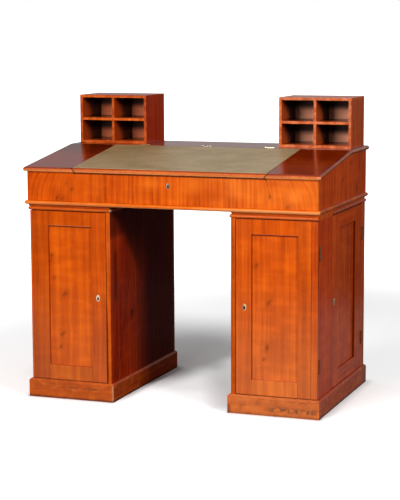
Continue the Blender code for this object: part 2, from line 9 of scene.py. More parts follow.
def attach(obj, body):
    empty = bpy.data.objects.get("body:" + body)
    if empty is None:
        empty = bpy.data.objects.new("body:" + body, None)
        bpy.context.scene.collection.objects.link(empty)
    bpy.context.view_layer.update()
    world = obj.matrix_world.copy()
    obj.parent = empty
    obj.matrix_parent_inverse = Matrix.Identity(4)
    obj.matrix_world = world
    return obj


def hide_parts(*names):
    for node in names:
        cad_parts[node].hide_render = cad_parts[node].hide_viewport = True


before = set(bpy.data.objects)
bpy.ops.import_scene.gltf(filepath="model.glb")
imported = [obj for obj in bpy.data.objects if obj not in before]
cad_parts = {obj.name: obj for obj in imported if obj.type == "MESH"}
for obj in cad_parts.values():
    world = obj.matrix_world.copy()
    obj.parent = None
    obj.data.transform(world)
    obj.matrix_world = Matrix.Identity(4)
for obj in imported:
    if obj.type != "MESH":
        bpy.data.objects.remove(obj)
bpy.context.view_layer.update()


# Pedestal sides: upright boards of solid cherry, planed and French polished, glued to the floor, back and
# top of each cupboard. The outer ones are notched behind the front door and cut away for the side door.
SIDES = {"left": -1, "right": 1}
KNEE_HALF = 0.280
BODY_HALF = 0.667
SIDE_ARRIS = 0.0010
LONG_EDGE = 0.05
ARRIS_ANGLE = math.radians(40)
SMOOTH_ANGLE = math.radians(35)
FLAT_ANGLE = math.radians(0.4)
SAME_SPOT = 0.00002
CHERRY_TONES = (
    (0.20, (0.36, 0.040, 0.0030)),
    (0.50, (0.62, 0.090, 0.0060)),
    (0.85, (0.88, 0.168, 0.0130)),
)
PALE_CHERRY = (0.60, 0.25, 0.095)
KNOT_COLOUR = (0.10, 0.016, 0.004)
POLISH_IOR = 1.5


def settle(piece, body, slot, *nodes):
    """Let a piece move with a body and stand for solids; the finish slot is not used."""
    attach(piece, body)
    if nodes:
        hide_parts(*nodes)
    return piece


def flatten(piece):
    """Shade a piece flat on its boards and smooth on its rounds."""
    piece.data.set_sharp_from_angle(angle=SMOOTH_ANGLE)
    piece.modifiers.new("flats", "WEIGHTED_NORMAL").keep_sharp = True


def made(name, shape, finish):
    """A piece from a mesh in the making."""
    bmesh.ops.recalc_face_normals(shape, faces=shape.faces)
    mesh = bpy.data.meshes.new(name)
    shape.to_mesh(mesh)
    shape.free()
    mesh.materials.append(finish)
    mesh.shade_smooth()
    piece = bpy.data.objects.new(name, mesh)
    bpy.context.scene.collection.objects.link(piece)
    flatten(piece)
    return piece


def ease(shape, arris, shortest=0.0):
    """Take the sharpness off the arrises of a shape, as sandpaper and polish do, but not off its short ones."""
    arrises = []
    for edge in shape.edges:
        if edge.calc_length() > shortest and edge.calc_face_angle(0) > ARRIS_ANGLE:
            arrises.append(edge)
    bmesh.ops.bevel(shape, geom=arrises, offset=arris, segments=2, profile=0.5, affect="EDGES",
                    clamp_overlap=True)


def softened(node, name, arris, finish):
    """A board's own solid with its long arrises eased."""
    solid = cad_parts[node].data
    shape = bmesh.new()
    corners = [shape.verts.new(vert.co) for vert in solid.vertices]
    for face in solid.polygons:
        shape.faces.new([corners[index] for index in face.vertices])
    bmesh.ops.remove_doubles(shape, verts=shape.verts, dist=SAME_SPOT)
    bmesh.ops.dissolve_limit(shape, angle_limit=FLAT_ANGLE, verts=shape.verts, edges=shape.edges)
    ease(shape, arris, LONG_EDGE)
    return made(name, shape, finish)


def carcase_board(node, arris, wood, slot="cherry"):
    """A board of the carcase, softened."""
    settle(softened(node, node + "_board", arris, wood), "carcase", slot, node)


class Strand:
    """A number or colour on its way through the nodes of a finish. It can be reckoned with as a number can."""
    def __init__(self, socket):
        self.socket = socket

    def __add__(self, other):
        return worked("ADD", self, other)

    def __sub__(self, other):
        return worked("SUBTRACT", self, other)

    def __rsub__(self, other):
        return worked("SUBTRACT", other, self)

    def __mul__(self, other):
        return worked("MULTIPLY", self, other)

    def __truediv__(self, other):
        return worked("DIVIDE", self, other)

    def __abs__(self):
        return worked("ABSOLUTE", self)


def feed(socket, value):
    """Lead a strand, a number or a colour into a node."""
    if isinstance(value, Strand):
        socket.id_data.links.new(value.socket, socket)
    elif isinstance(value, tuple):
        socket.default_value = (*value, 1.0)
    elif value is not None:
        socket.default_value = value


def laid(kind, *values, **settings):
    """A new node of some kind with its settings, and values led into its sockets in their order."""
    tree = next(value.socket.id_data for value in values if isinstance(value, Strand))
    node = tree.nodes.new("ShaderNode" + kind)
    for name, setting in settings.items():
        setattr(node, name, setting)
    for socket, value in zip(node.inputs, values):
        feed(socket, value)
    return node


def worked(operation, *values):
    """A sum of strands and numbers."""
    return Strand(laid("Math", *values, operation=operation).outputs[0])


def most(*values):
    """The greater of two."""
    return worked("MAXIMUM", *values)


def least(*values):
    """The lesser of two."""
    return worked("MINIMUM", *values)


def distance(one, other):
    """How far off a point is, from two places at a right angle."""
    return worked("SQRT", one * one + other * other)


def bell(value, width):
    """One at zero, falling off softly over a width."""
    share = value / width
    return worked("EXPONENT", share * share * -1.0)


def spread(value, low, high, to_low=0.0, to_high=1.0):
    """A soft step from one value to another, as a value goes from low to high."""
    step = laid("MapRange", value, low, high, to_low, to_high, interpolation_type="SMOOTHSTEP")
    return Strand(step.outputs[0])


def within(value, start, full, fading, end):
    """One between two soft steps, and nothing outside them."""
    return spread(value, start, full) * spread(value, end, fading)


def point(*values):
    """A point in space, from three places."""
    return Strand(laid("CombineXYZ", *values).outputs[0])


def noise(where, scale, detail=2.0, rough=0.5):
    """Clouds in space."""
    return Strand(laid("TexNoise", where, None, scale, detail, rough).outputs[0])


def lines(where, scale, detail, rough):
    """Streaks along one direction."""
    return Strand(laid("TexNoise", None, where, scale, detail, rough, noise_dimensions="1D").outputs[0])


def ramp(value, *stops):
    """Colours that follow one another as a value grows."""
    node = laid("ValToRGB", value)
    while len(node.color_ramp.elements) < len(stops):
        node.color_ramp.elements.new(0.5)
    for element, (where, colour) in zip(node.color_ramp.elements, stops):
        element.position = where
        element.color = (*colour, 1.0)
    return Strand(node.outputs[0])


def blend(amount, one, other, way="MIX"):
    """One colour gone over to another by some amount."""
    node = laid("Mix", amount, *[None] * 5, one, other, data_type="RGBA", blend_type=way)
    return Strand(node.outputs[2])


def tinted(colour, tone):
    """A colour under a glaze of another."""
    return blend(1.0, colour, tone, "MULTIPLY")


def bump(height, strength, deep):
    """Fine relief."""
    node = height.socket.id_data.nodes.new("ShaderNodeBump")
    for name, value in (("Height", height), ("Strength", strength), ("Distance", deep)):
        feed(node.inputs[name], value)
    return Strand(node.outputs[0])


def place_in(tree):
    """The place of a point in the desk, in metres."""
    spot = Strand(tree.nodes.new("ShaderNodeTexCoord").outputs["Object"])
    return [Strand(socket) for socket in laid("SeparateXYZ", spot).outputs]


def new_finish(name):
    """A finish in the making, and the place of a point on it."""
    surface = bpy.data.materials.new(name)
    surface.use_nodes = True
    return surface, place_in(surface.node_tree)


def finished(surface, colour, rough, relief=None, shine=0.5, metallic=0.0):
    """A finish with its colour, gloss and relief, and the shine and metal that are the same all over it."""
    inputs = surface.node_tree.nodes["Principled BSDF"].inputs
    values = {"Base Color": colour, "Roughness": rough, "Normal": relief, "Metallic": metallic}
    values.update({"IOR": POLISH_IOR, "Specular IOR Level": shine})
    for name, value in values.items():
        feed(inputs[name], value)
    return surface


def by_grain(place, along):
    """A point's two places across the grain, and its place along it."""
    x, y, z = place
    return {"X": (y, z, x), "Y": (x, z, y), "Z": (x, y, z)}[along]


def cherry(name, along, face=0.0, seed=0.0, tone=1.0, figure=40.0, depth=1.0, bends=(), knots=(), gloss=0.22,
           shine=0.11, pale=0.0, wear=None, polished=None, hue=(1.0, 1.0, 1.0), low_tint_and_sheen=None, mottle=0.10):
    """Polished cherry. Its growth lines run along a board, bow at a bend and part round knots.

    Places across the grain are counted from the board's face, and places along it from the floor or the middle.
    Wear changes the colour, and polished says where a board that is left dull elsewhere has its polish. Low
    tint and sheen is how far the colour goes over to which other near the floor; a pale one is a painted sheen
    for the floor seen in the polish. Mottle is how curly the figure is.
    """
    surface, place = new_finish(name)
    one, other, run = by_grain(place, along)
    across = one + other - face
    slow = point(across * 6.0, seed, run * 1.5)
    flow = across + (noise(slow, 1.0) - 0.5) * 0.030
    for centre, width, curve, middle in bends:
        rise = run - middle
        flow = rise * rise * curve * bell(across - centre, width) + flow
    dark = 0.0
    for spot, level, size in knots:
        ragged = noise(point(across, seed, run), 0.55 / size, 2.0)
        rise = run - level
        aside = (ragged - 0.5) * (3.0 * size) + (rise * -0.35 + (across - spot))
        far = distance(aside, rise * 0.7)
        flow = aside * (bell(far, 2.4 * size) * -0.5) + flow
        dark = most(dark, bell(far, 0.9 * size) * 0.50 + bell(far, 2.6 * size) * 0.16)
    growth = spread(lines(flow + seed, figure, 4.0, 0.55), 0.28, 0.72)
    broad = spread(noise(slow, 1.7), 0.32, 0.68)
    curl = spread(noise(point(across * 9.0, seed, run * 26.0), 1.0, 3.0), 0.38, 0.78)
    fibre = noise(point(one * 620.0, other * 620.0, run * 17.0), 1.0, 3.0)
    patchy = spread(noise(point(across * 14.0, seed + 5.0, run * 5.0), 1.0), 0.35, 0.65, 0.25, 1.0)
    streak = noise(point(flow * 90.0, seed, run * 4.0), 1.0, 5.0, 0.72)
    streak = spread(streak, 0.30, 0.70, -0.5, 0.5) * patchy + 0.5
    shade = growth * (0.17 * depth) + broad * (0.17 * depth) + curl * (mottle * depth)
    shade = shade + streak * ((0.32 - mottle) * depth) + fibre * (0.20 * depth)
    stops = []
    for where, wood in CHERRY_TONES:
        stops.append((where, [part * share * tone for part, share in zip(wood, hue)]))
    colour = ramp(shade + (0.5 - 0.42 * depth), *stops)
    # Near the floor the colour goes over to another; a paler one is a painted sheen for the floor in the
    # polish.
    if low_tint_and_sheen:
        colour = blend(spread(place[2], 0.68, 0.10, 0.0, low_tint_and_sheen[0]), colour, low_tint_and_sheen[1])
    if pale:
        colour = blend(pale, colour, tuple(part * tone for part in PALE_CHERRY))
    if knots:
        colour = blend(dark, colour, KNOT_COLOUR)
    if wear:
        colour = wear(colour, place)
    rough = spread(fibre, 0.3, 0.7, gloss + 0.05, gloss - 0.04)
    if polished:
        rough = most(rough, spread(polished(place), 0.0, 1.0, 0.60, 0.0))
    return finished(surface, colour, rough, bump(fibre + growth, 0.05, 0.0005), shine)


KNEE_KNOT = (-0.129, 0.366)
SIDE_KNOTS = {"left_inner_side": ((*KNEE_KNOT, 0.016),)}
KNEE_TONE = (0.73, 0.34, 0.30)
# Painted shade in the kneehole: the darkest colour, which a streak shares, and a lighter one low down.
KNEE_SHADE_AND_STREAK = (0.030, 0.004, 0.001)
KNEE_LOW_SHADE = (0.056, 0.019, 0.012)
KNEE_FLAW = (0.012, 0.003, 0.001)
# Painted shade in the gap beside a front door.
DOOR_GAP_SHADE = (0.05, 0.008, 0.003)


def dimmed(colour, place):
    """Kneehole sides: darker and redder, with painted shade towards the back and a painted shadow of the case.

    The left one has a dark knot and a leaning line in its grain.
    """
    x, y, z = place
    out = abs(x)
    on_face = spread(out, KNEE_HALF + 0.0016, KNEE_HALF + 0.0004)
    colour = blend(on_face, colour, tinted(colour, KNEE_TONE))
    low = spread(z, 0.45, 0.25)
    # Painted shade: darker towards the back of the kneehole, a little less so low down.
    rear = spread(low * -0.05 + y, -0.28, 0.12, 0.0, 0.70)
    colour = blend(rear, colour, blend(low, KNEE_SHADE_AND_STREAK, KNEE_LOW_SHADE))
    # Painted shadow of the case and its waist over the upper front of the face.
    case_shadow = most(spread(z, 0.715, 0.755), spread(y * 1.2 + z, 0.45, 0.52))
    case_shadow = case_shadow * on_face * spread(y, 0.03, -0.09, 0.0, 0.62)
    # A dark upright streak near the front, in the colour of the painted shade.
    streak = bell(y + 0.318, 0.022) * on_face * (spread(z, 0.40, 0.48) * spread(z, 0.70, 0.64, 0.0, 0.60))
    colour = blend(most(case_shadow, streak), colour, KNEE_SHADE_AND_STREAK)
    at_left = spread(x, 0.1, -0.1)
    far = distance(y - KNEE_KNOT[0], (z - KNEE_KNOT[1]) * 0.6)
    leaning = abs(z * -0.33 + (y + 0.335))
    seam = spread(leaning, 0.0080, 0.0010, 0.0, 0.45) * spread(z, 0.62, 0.50)
    flaw = most(spread(far, 0.011, 0.004, 0.0, 0.85), seam) * (at_left * on_face)
    colour = blend(flaw, colour, KNEE_FLAW)
    # Painted shade in the door's gap along the side's front edge; on the left it widens low down.
    wide = spread(z, 0.50, 0.30, 0.0008, 0.0054) * at_left
    door_gap_shade = spread(out + wide, KNEE_HALF + 0.0188, KNEE_HALF + 0.0206)
    return blend(door_gap_shade * (at_left * 0.25 + 0.55), colour, DOOR_GAP_SHADE)


def redder_front(colour, place):
    """Outer sides: a red polish at the front post, browner towards the back."""
    return tinted(colour, blend(spread(place[1], -0.30, 0.35), (1.0, 0.64, 0.64), (1.0, 0.80, 1.15)))


for side, sign in SIDES.items():
    for part, face, seed in (("inner_side", KNEE_HALF, 3.1), ("outer_side", BODY_HALF, 7.7)):
        node = f"{side}_{part}"
        is_inner = part == "inner_side"
        tone, depth, shine = (0.85, 1.35, 0.05) if is_inner else (0.93, 1.0, 0.11)
        wood = cherry(node + "_cherry", "Z", sign * face, seed + sign, tone, depth=depth, shine=shine,
                      knots=SIDE_KNOTS.get(node, ()), wear=dimmed if is_inner else redder_front)
        carcase_board(node, SIDE_ARRIS, wood)


# Pedestal backs and floors: plain, darker boards that close each cupboard, nailed on from behind and let in
# between the sides. They are oiled rather than polished.
BACK = 0.402
BACK_ARRIS = 0.0007
OILED_LIGHT = (0.36, 0.125, 0.052)
OILED_DEEP = (0.19, 0.056, 0.021)
IRON_DARK = (0.060, 0.050, 0.045)
IRON_BROWN = (0.16, 0.12, 0.10)
HEAD_STEPS = 8
HEAD_SUNK = 0.0006
HEAD_PROUD = 0.0003
HEAD_TAPER = 0.86
NAIL_RADIUS = 0.0026
NAIL_ROWS = (0.035, 0.160, 0.290, 0.425, 0.555, 0.690, 0.815)
NAIL_EDGE = 0.011
NAIL_STRAY = 0.004
UP = (0, 0, 1)


def plain_wood(name, along, seed, light=OILED_LIGHT, deep=OILED_DEEP, wear=None):
    """Oiled backing wood with open grain and no polish. Wear changes the colour."""
    surface, place = new_finish(name)
    one, other, run = by_grain(place, along)
    across = one + other
    slow = point(across * 4.0, seed, run * 1.2)
    growth = spread(lines(noise(slow, 1.0) * 0.10 + across + seed, 60.0, 3.0, 0.5), 0.25, 0.75)
    broad = spread(noise(slow, 1.6), 0.32, 0.68)
    fibre = noise(point(one * 480.0, other * 480.0, run * 20.0), 1.0, 3.0)
    colour = ramp(growth * 0.30 + fibre * 0.35 + broad * 0.35, (0.15, deep), (0.85, light))
    if wear:
        colour = wear(colour, place)
    rough = spread(fibre, 0.3, 0.7, 0.62, 0.50)
    return finished(surface, colour, rough, bump(fibre, 0.25, 0.0006), 0.12)


for side in SIDES:
    for part, along, seed in (("back", "Z", 1.7), ("floor", "X", 5.3)):
        node = f"{side}_{part}"
        carcase_board(node, BACK_ARRIS, plain_wood(node + "_wood", along, seed + len(side)), "cherry_dark")


def iron_finish(name):
    """Old iron, dark with a brown bloom."""
    surface, place = new_finish(name)
    rust = noise(point(*place), 220.0, 5.0, 0.65)
    colour = ramp(rust, (0.38, IRON_DARK), (0.66, IRON_BROWN))
    return finished(surface, colour, spread(rust, 0.3, 0.7, 0.42, 0.62), metallic=0.85)


def heads(name, places, radius, slot, finish):
    """Heads of nails, or of screws with a slot, each on the origin of a place and facing along its Z."""
    shape = bmesh.new()
    for place in places:
        for half in (1, -1):
            rim = []
            for step in range(HEAD_STEPS + 1):
                turn = math.pi * step / HEAD_STEPS
                rim.append((radius * math.cos(turn), half * max(slot / 2, radius * math.sin(turn))))
            low, high = [], []
            for a, b in rim:
                low.append(shape.verts.new(place @ Vector((a, b, -HEAD_SUNK))))
            for a, b in rim:
                top = (a * HEAD_TAPER, b * HEAD_TAPER + half * slot * (1 - HEAD_TAPER) / 2, HEAD_PROUD)
                high.append(shape.verts.new(place @ Vector(top)))
            shape.faces.new(high)
            shape.faces.new(low)
            for index in range(len(rim)):
                following = (index + 1) % len(rim)
                shape.faces.new((low[index], low[following], high[following], high[index]))
    return made(name, shape, finish)


def frame_of(origin, a, b, c):
    """A place whose three directions are given, for a length of timber or a fitting."""
    turn = Matrix((Vector(a), Vector(b), Vector(c))).transposed().to_4x4()
    return Matrix.Translation(origin) @ turn


nail_iron = iron_finish("nail_iron")
for side, sign in SIDES.items():
    nails = []
    for column, edge in enumerate((sign * (KNEE_HALF + NAIL_EDGE), sign * (BODY_HALF - NAIL_EDGE))):
        for row, height in enumerate(NAIL_ROWS):
            stray = NAIL_STRAY * math.sin(3.1 * row + 1.7 * column + sign)
            nails.append(frame_of((edge + 0.5 * stray, BACK, height + 2 * stray), (-1, 0, 0), UP, (0, 1, 0)))
    settle(heads(f"{side}_back_nails", nails, NAIL_RADIUS, 0, nail_iron), "carcase", "iron")


# Plinths: a skirting of three boards round the foot of each pedestal, mitred at the front corners, glued on,
# with a chamfer along the upper edge. Boots and brooms have scuffed it and worn its corners pale.
DOOR_FACE = -0.372
PLINTH_OUT = 0.013
PLINTH_FACE = DOOR_FACE - PLINTH_OUT
PLINTH_KNEE = KNEE_HALF - PLINTH_OUT
PLINTH_HEIGHT = 0.082
PLINTH_CHAMFER = 0.007
GLUE_LINE = 0.0003
FOOT_PROFILE = (
    (GLUE_LINE, 0),
    (PLINTH_OUT, 0),
    (PLINTH_OUT, PLINTH_HEIGHT - PLINTH_CHAMFER),
    (PLINTH_OUT - PLINTH_CHAMFER, PLINTH_HEIGHT),
    (GLUE_LINE, PLINTH_HEIGHT),
)
FRONT_SCUFFS = {"left": (-0.52, -0.27, 0.053, 0.004), "right": (0.43, 0.68, 0.030, 0.013)}
NO_SCUFFS = (5.0, 6.0, 0.030, 0.013)
PLINTH_STAIN = (0.22, 0.040, 0.012)
PLINTH_CLEAN = (0.80, 0.25, 0.040)
PLINTH_FOOT_DIRT_AND_SHADE = (0.045, 0.016, 0.009)
BOOT_BLACK = (0.09, 0.045, 0.028)
BARE_CORNER = (0.52, 0.33, 0.20)
FOOT_STAIN = (0.10, 0.030, 0.015)


def worked_length(name, profile, start, end, place, finish, mitres=(0, 0), arris=0.0007):
    """A length of timber: a closed profile in X and Y of place, run along its Z, its ends mitred or square."""
    shape = bmesh.new()
    ends = []
    for level, mitre in ((start, mitres[0]), (end, mitres[1])):
        ends.append([shape.verts.new((a, b, level + mitre * a)) for a, b in profile])
    shape.faces.new(ends[0][::-1])
    shape.faces.new(ends[1])
    for index in range(len(profile)):
        following = (index + 1) % len(profile)
        shape.faces.new((ends[0][index], ends[0][following], ends[1][following], ends[1][index]))
    bmesh.ops.recalc_face_normals(shape, faces=shape.faces)
    if arris:
        ease(shape, arris)
    bmesh.ops.transform(shape, matrix=place, verts=shape.verts)
    return made(name, shape, finish)


def along_front(near, far):
    """The place of a moulding along the front of a pedestal, and half its length."""
    return frame_of(((near + far) / 2, DOOR_FACE, 0), (0, -1, 0), UP, (1, 0, 0)), abs(far - near) / 2


def along_side(edge, out):
    """The place of a moulding along a side of a pedestal."""
    return frame_of((edge, 0, 0), (out, 0, 0), UP, (0, 1, 0))


def scuffed(seed, scuffs, foot_dirt_and_shade, rear_stain=0.0):
    """Wear of a plinth: stains, dirt and painted contact shade on the lower edge, worn corners and shoe-height
    rubs.
    """
    low, high, level, tall = scuffs

    def wear(colour, place):
        x, y, z = place
        along = x + y
        stain = noise(point(along, seed + 9.0, z * 1.5), 24.0, 4.0, 0.65)
        colour = blend(spread(stain, 0.52, 0.68, 0.0, 0.45), colour, PLINTH_STAIN)
        colour = blend(spread(stain, 0.50, 0.36, 0.0, 0.20), colour, PLINTH_CLEAN)
        grime = noise(point(along, seed, z), 60.0, 4.0, 0.65)
        # Dirt and painted contact shade along the plinth's lower edge.
        foot = spread(grime * 0.014 + z, 0.020, 0.010, 0.0, foot_dirt_and_shade)
        colour = blend(foot, colour, PLINTH_FOOT_DIRT_AND_SHADE)
        marks = noise(point(along, seed + 4.0, z * 1.3), 85.0, 3.0, 0.6)
        marks = noise(point(along, seed + 2.0, z), 26.0) * 0.6 + marks * 0.4
        where = within(x, low, low + 0.05, high - 0.03, high)
        rubbed = bell(z - level, tall) * where * spread(marks, 0.42, 0.54)
        colour = blend(rubbed * 0.80, colour, BOOT_BLACK)
        corner = bell(x + PLINTH_KNEE, 0.0045) * spread(y, PLINTH_FACE + 0.006, PLINTH_FACE + 0.002)
        colour = blend(corner * spread(grime, 0.3, 0.6), colour, BARE_CORNER)
        kicked = spread(x - PLINTH_KNEE, 0.022, 0.006) * spread(grime * -0.03 + z, 0.034, 0.014, 0.0, 0.65)
        colour = blend(kicked * spread(x, 0.0, 0.1), colour, FOOT_STAIN)
        return blend(spread(y, BACK - 0.10, BACK - 0.02, 0.0, rear_stain), colour, FOOT_STAIN)
    return wear


for side, sign in SIDES.items():
    near, far = sign * KNEE_HALF, sign * BODY_HALF
    front_wood = cherry(f"{side}_plinth_front_cherry", "X", seed=11.0 + sign, tone=0.90 + 0.07 * sign,
                        pale=0.20 + 0.11 * sign,
                        wear=scuffed(2.0 + sign, FRONT_SCUFFS[side], 0.50 - 0.15 * sign))
    place, half = along_front(near, far)
    front = worked_length(f"{side}_plinth_front", FOOT_PROFILE, -half, half, place, front_wood, (-1, 1))
    settle(front, "carcase", "cherry", f"{side}_plinth")
    for where, edge, out, rear_stain in (("inner", near, -sign, 0.0), ("outer", far, sign, 0.55)):
        name = f"{side}_plinth_{where}"
        side_wood = cherry(name + "_cherry", "Y", seed=14.0 + sign, tone=0.80, hue=(1.0, 0.85, 0.80),
                           wear=scuffed(6.0, NO_SCUFFS, 0.95, rear_stain))
        place = along_side(edge, out)
        return_board = worked_length(name, FOOT_PROFILE, DOOR_FACE, BACK, place, side_wood, (-1, 0))
        settle(return_board, "carcase", "cherry", f"{side}_plinth")


# Pedestal tops: a board with a half-round bead along its lower edge, and a small hollow moulding glued above
# the bead, under the waist of the upper case. On the right outer side both start behind the front board.
BEAD_TOP = 0.8635
TOP_OF_PEDESTAL = 0.8733
TOP_ARRIS = 0.0005
HOLLOW_BACK = -0.0028
HOLLOW_LIP = 0.0062
HOLLOW_FLAT = 0.0004
HOLLOW_STEPS = 7
LATE_START = 0.215
SIDE_OUT = 0.6690
RETURN_TONE = (0.66, 0.56, 0.62)
BARE_CHIP = (0.42, 0.31, 0.23)


def darker_returns(colour, place):
    """Mouldings along the sides, which have gone browner than the front ones."""
    beyond = spread(abs(place[0]), SIDE_OUT, SIDE_OUT + 0.002)
    behind = spread(place[1], -0.386, -0.376)
    return blend(beyond * behind, colour, tinted(colour, RETURN_TONE))


def chipped(colour, place):
    """Pedestal tops: knocked pale at the corners of the kneehole, and browner along the sides."""
    x, y, z = place
    corner = spread(abs(x), KNEE_HALF + 0.003, KNEE_HALF - 0.004)
    corner = corner * spread(y, DOOR_FACE + 0.022, DOOR_FACE + 0.004)
    bruise = spread(noise(point(x, y, z), 150.0, 3.0, 0.6), 0.30, 0.52, 0.45, 0.95)
    return darker_returns(blend(corner * bruise, colour, BARE_CHIP), place)


hollow_radius = TOP_OF_PEDESTAL - BEAD_TOP - HOLLOW_FLAT
hollow_profile = [(HOLLOW_BACK, TOP_OF_PEDESTAL), (HOLLOW_BACK, BEAD_TOP)]
for step in range(HOLLOW_STEPS + 1):
    turn = math.pi * (1 - 0.5 * step / HOLLOW_STEPS)
    spot_out = HOLLOW_LIP + (HOLLOW_LIP - HOLLOW_BACK - HOLLOW_FLAT) * math.cos(turn)
    hollow_profile.append((spot_out, BEAD_TOP + HOLLOW_FLAT / 2 + hollow_radius * math.sin(turn)))
hollow_profile.append((HOLLOW_LIP, TOP_OF_PEDESTAL))

for side, sign in SIDES.items():
    node = f"{side}_pedestal_top"
    wood = cherry(node + "_cherry", "X", seed=21.0 + sign, tone=0.91 + 0.04 * sign, wear=chipped)
    carcase_board(node, TOP_ARRIS, wood)
    near, far = sign * KNEE_HALF, sign * BODY_HALF
    place, half = along_front(near, far)
    start, mitres = (-half, (-1, 0)) if sign > 0 else (-half - HOLLOW_LIP, (0, 1))
    hollow = worked_length(f"{side}_hollow_front", hollow_profile, start, half, place, wood, mitres, 0)
    settle(hollow, "carcase", "cherry")
    side_wood = cherry(f"{side}_hollow_cherry", "Y", seed=24.0 + sign, tone=0.95, wear=darker_returns)
    for where, edge, out in (("inner", near, -sign), ("outer", far, sign)):
        is_late = sign > 0 and where == "outer"
        start, mitre = (DOOR_FACE + LATE_START, 0) if is_late else (DOOR_FACE, -1)
        hollow = worked_length(f"{side}_hollow_{where}", hollow_profile, start, BACK, along_side(edge, out),
                               side_wood, (mitre, 0), 0)
        settle(hollow, "carcase", "cherry")


# Doors: two stiles and two rails of solid cherry, tenoned and glued, round a panel that lies loose in a
# groove. The front doors lap the outer side and have a narrow lipping glued along the hinge edge.
DOOR_LOW = 0.084
DOOR_HIGH = 0.8455
DOOR_T = 0.020
RAIL = 0.0655
GROOVE = (0.0097, 0.0173)
GROOVE_DEEP = 0.008
JOINT = 0.0002
DOOR_ARRIS = 0.0008
PANEL_SUNK = 0.010
DOORS = {
    "left_front": ((-BODY_HALF, DOOR_FACE, 0), (1, 0, 0), (0, 1, 0), 0.365, (0.087, 0.070), 0.011),
    "right_front": ((BODY_HALF, DOOR_FACE, 0), (-1, 0, 0), (0, 1, 0), 0.365, (0.087, 0.070), 0.029),
    "left_side": ((-BODY_HALF, 0.344, 0), (0, -1, 0), (1, 0, 0), 0.499, (0.109, 0.109), 0),
    "right_side": ((BODY_HALF, 0.344, 0), (0, -1, 0), (-1, 0, 0), 0.499, (0.109, 0.109), 0),
}
PANEL_KNOTS = {
    "left_front": ((-0.567, 0.644, 0.006), (-0.579, 0.616, 0.006), (-0.559, 0.545, 0.004),
                   (-0.506, 0.475, 0.010), (-0.519, 0.292, 0.009), (-0.530, 0.232, 0.006)),
    "right_front": ((0.391, 0.646, 0.006), (0.446, 0.487, 0.010), (0.443, 0.293, 0.009), (0.425, 0.240, 0.005)),
}
# Door tones: hinge and lock stiles, upper and lower rails, panel, then the tints near the floor for the stiles
# and for the lower rail and panel. The pale tints are painted sheen for the floor in the polish; one is a
# darker foot.
DOOR_TONES = {
    "left_front": ((0.85, 0.98), (0.90, 0.90), 0.99, (0.28, (0.25, 0.105, 0.055)), (0.10, (0.56, 0.28, 0.12))),
    "right_front": ((0.90, 1.02), (1.03, 1.08), 1.06, (0.20, (0.60, 0.29, 0.125)), (0.20, (0.60, 0.30, 0.125))),
    "left_side": ((0.95, 0.95), (0.95, 0.95), 0.95, None, None),
    "right_side": ((0.80, 1.00), (0.96, 0.98), 0.92, None, None),
}
FRONT_HUE = (1.0, 0.92, 0.30)
LIPPING_HUE = (1.0, 0.84, 0.50)
LOW_RAIL_HUE = (1.0, 1.10, 0.70)
SIDE_HUE = (1.0, 0.82, 1.0)
# How much painted shade lies on the edges of stiles and rails, and how pale an upper rail's lower arris is.
EDGE_SHADE_AMOUNTS = {
    "left_front": (0.05, 0.10, 0.25),
    "right_front": (0.70, 0.05, 0.10),
    "right_side": (0.92, 0.50, 0.0),
}
USUAL_EDGE_SHADE = (0.72, 0.72, 0.0)
EDGE_SHADE_AND_OLD_POLISH = (0.11, 0.010, 0.003)
GAP_SHADE_AND_JOINTS = (0.06, 0.009, 0.003)
RUBBED_ARRIS = (0.66, 0.36, 0.20)
PANEL_SHADE = (0.12, 0.012, 0.003)
KEY_HEIGHT = 0.465
KEY_BACKSET = 0.039
PLATE = (0.0085, 0.0148)
PLATE_DEEP = 0.0016
LOCK = (0.0554, 0.0604, 0.0122)
KEYHOLE_R = 0.0022
KEYHOLE_DROP = 0.0085
KEYHOLE_STEPS = 14


def reach(place, corner, direction):
    """How far a point lies from a corner along one of the three directions."""
    index = max(range(3), key=lambda number: abs(direction[number]))
    return place[index] * direction[index] - corner[index] * direction[index]


def shaded_frame_edges(corner, across, inward, width, joints, edge_shade_amount, rubbed=0.0):
    """Painted shade, over dark old polish, on the edges of a door's frame, and painted shade in the gaps round
    it.

    Its joints are dark too. The lower arris of an upper rail may be rubbed pale instead, just over the panel.
    """
    def wear(colour, place):
        below = reach(place, corner, inward)
        # Painted shade on the frame's edges round the panel and at its outer edges, over old polish.
        edge = within(below, 0.0007, 0.003, 0.010, 0.014)
        colour = blend(edge * edge_shade_amount, colour, EDGE_SHADE_AND_OLD_POLISH)
        aside, height = reach(place, corner, across), place[2]
        # Painted shade in the gaps at the lock edge, top and foot of the door, and dark joints.
        outline = spread(aside, width - 0.0020, width - 0.0006, 0.0, 0.40)
        outline = most(outline, spread(height, DOOR_HIGH - 0.0040, DOOR_HIGH - 0.0008, 0.0, 0.65))
        outline = most(outline, spread(height, DOOR_LOW + 0.0030, DOOR_LOW + 0.0006, 0.0, 0.55))
        for spot in joints:
            outline = most(outline, spread(abs(aside - spot), 0.0024, 0.0006, 0.0, 0.45))
        colour = blend(outline, colour, GAP_SHADE_AND_JOINTS)
        if rubbed:
            arris = spread(height, DOOR_HIGH - RAIL + 0.0042, DOOR_HIGH - RAIL + 0.0010, 0.0, rubbed)
            colour = blend(arris, colour, RUBBED_ARRIS)
        return colour
    return wear


def shaded_panel_border(corner, across, left, right, low, high):
    """Painted shadow on a panel under its upper rail, and a thin line of painted shade and grime round the
    groove.
    """
    def wear(colour, place):
        aside, height = reach(place, corner, across), place[2]
        nearest = least(least(aside - left, right - aside), height - low)
        # Painted shadow of the upper rail across the top of the panel.
        rail_shadow = spread(high - height, 0.010, 0.003, 0.0, 0.88)
        return blend(most(spread(nearest, 0.005, 0.0, 0.0, 0.35), rail_shadow), colour, PANEL_SHADE)
    return wear


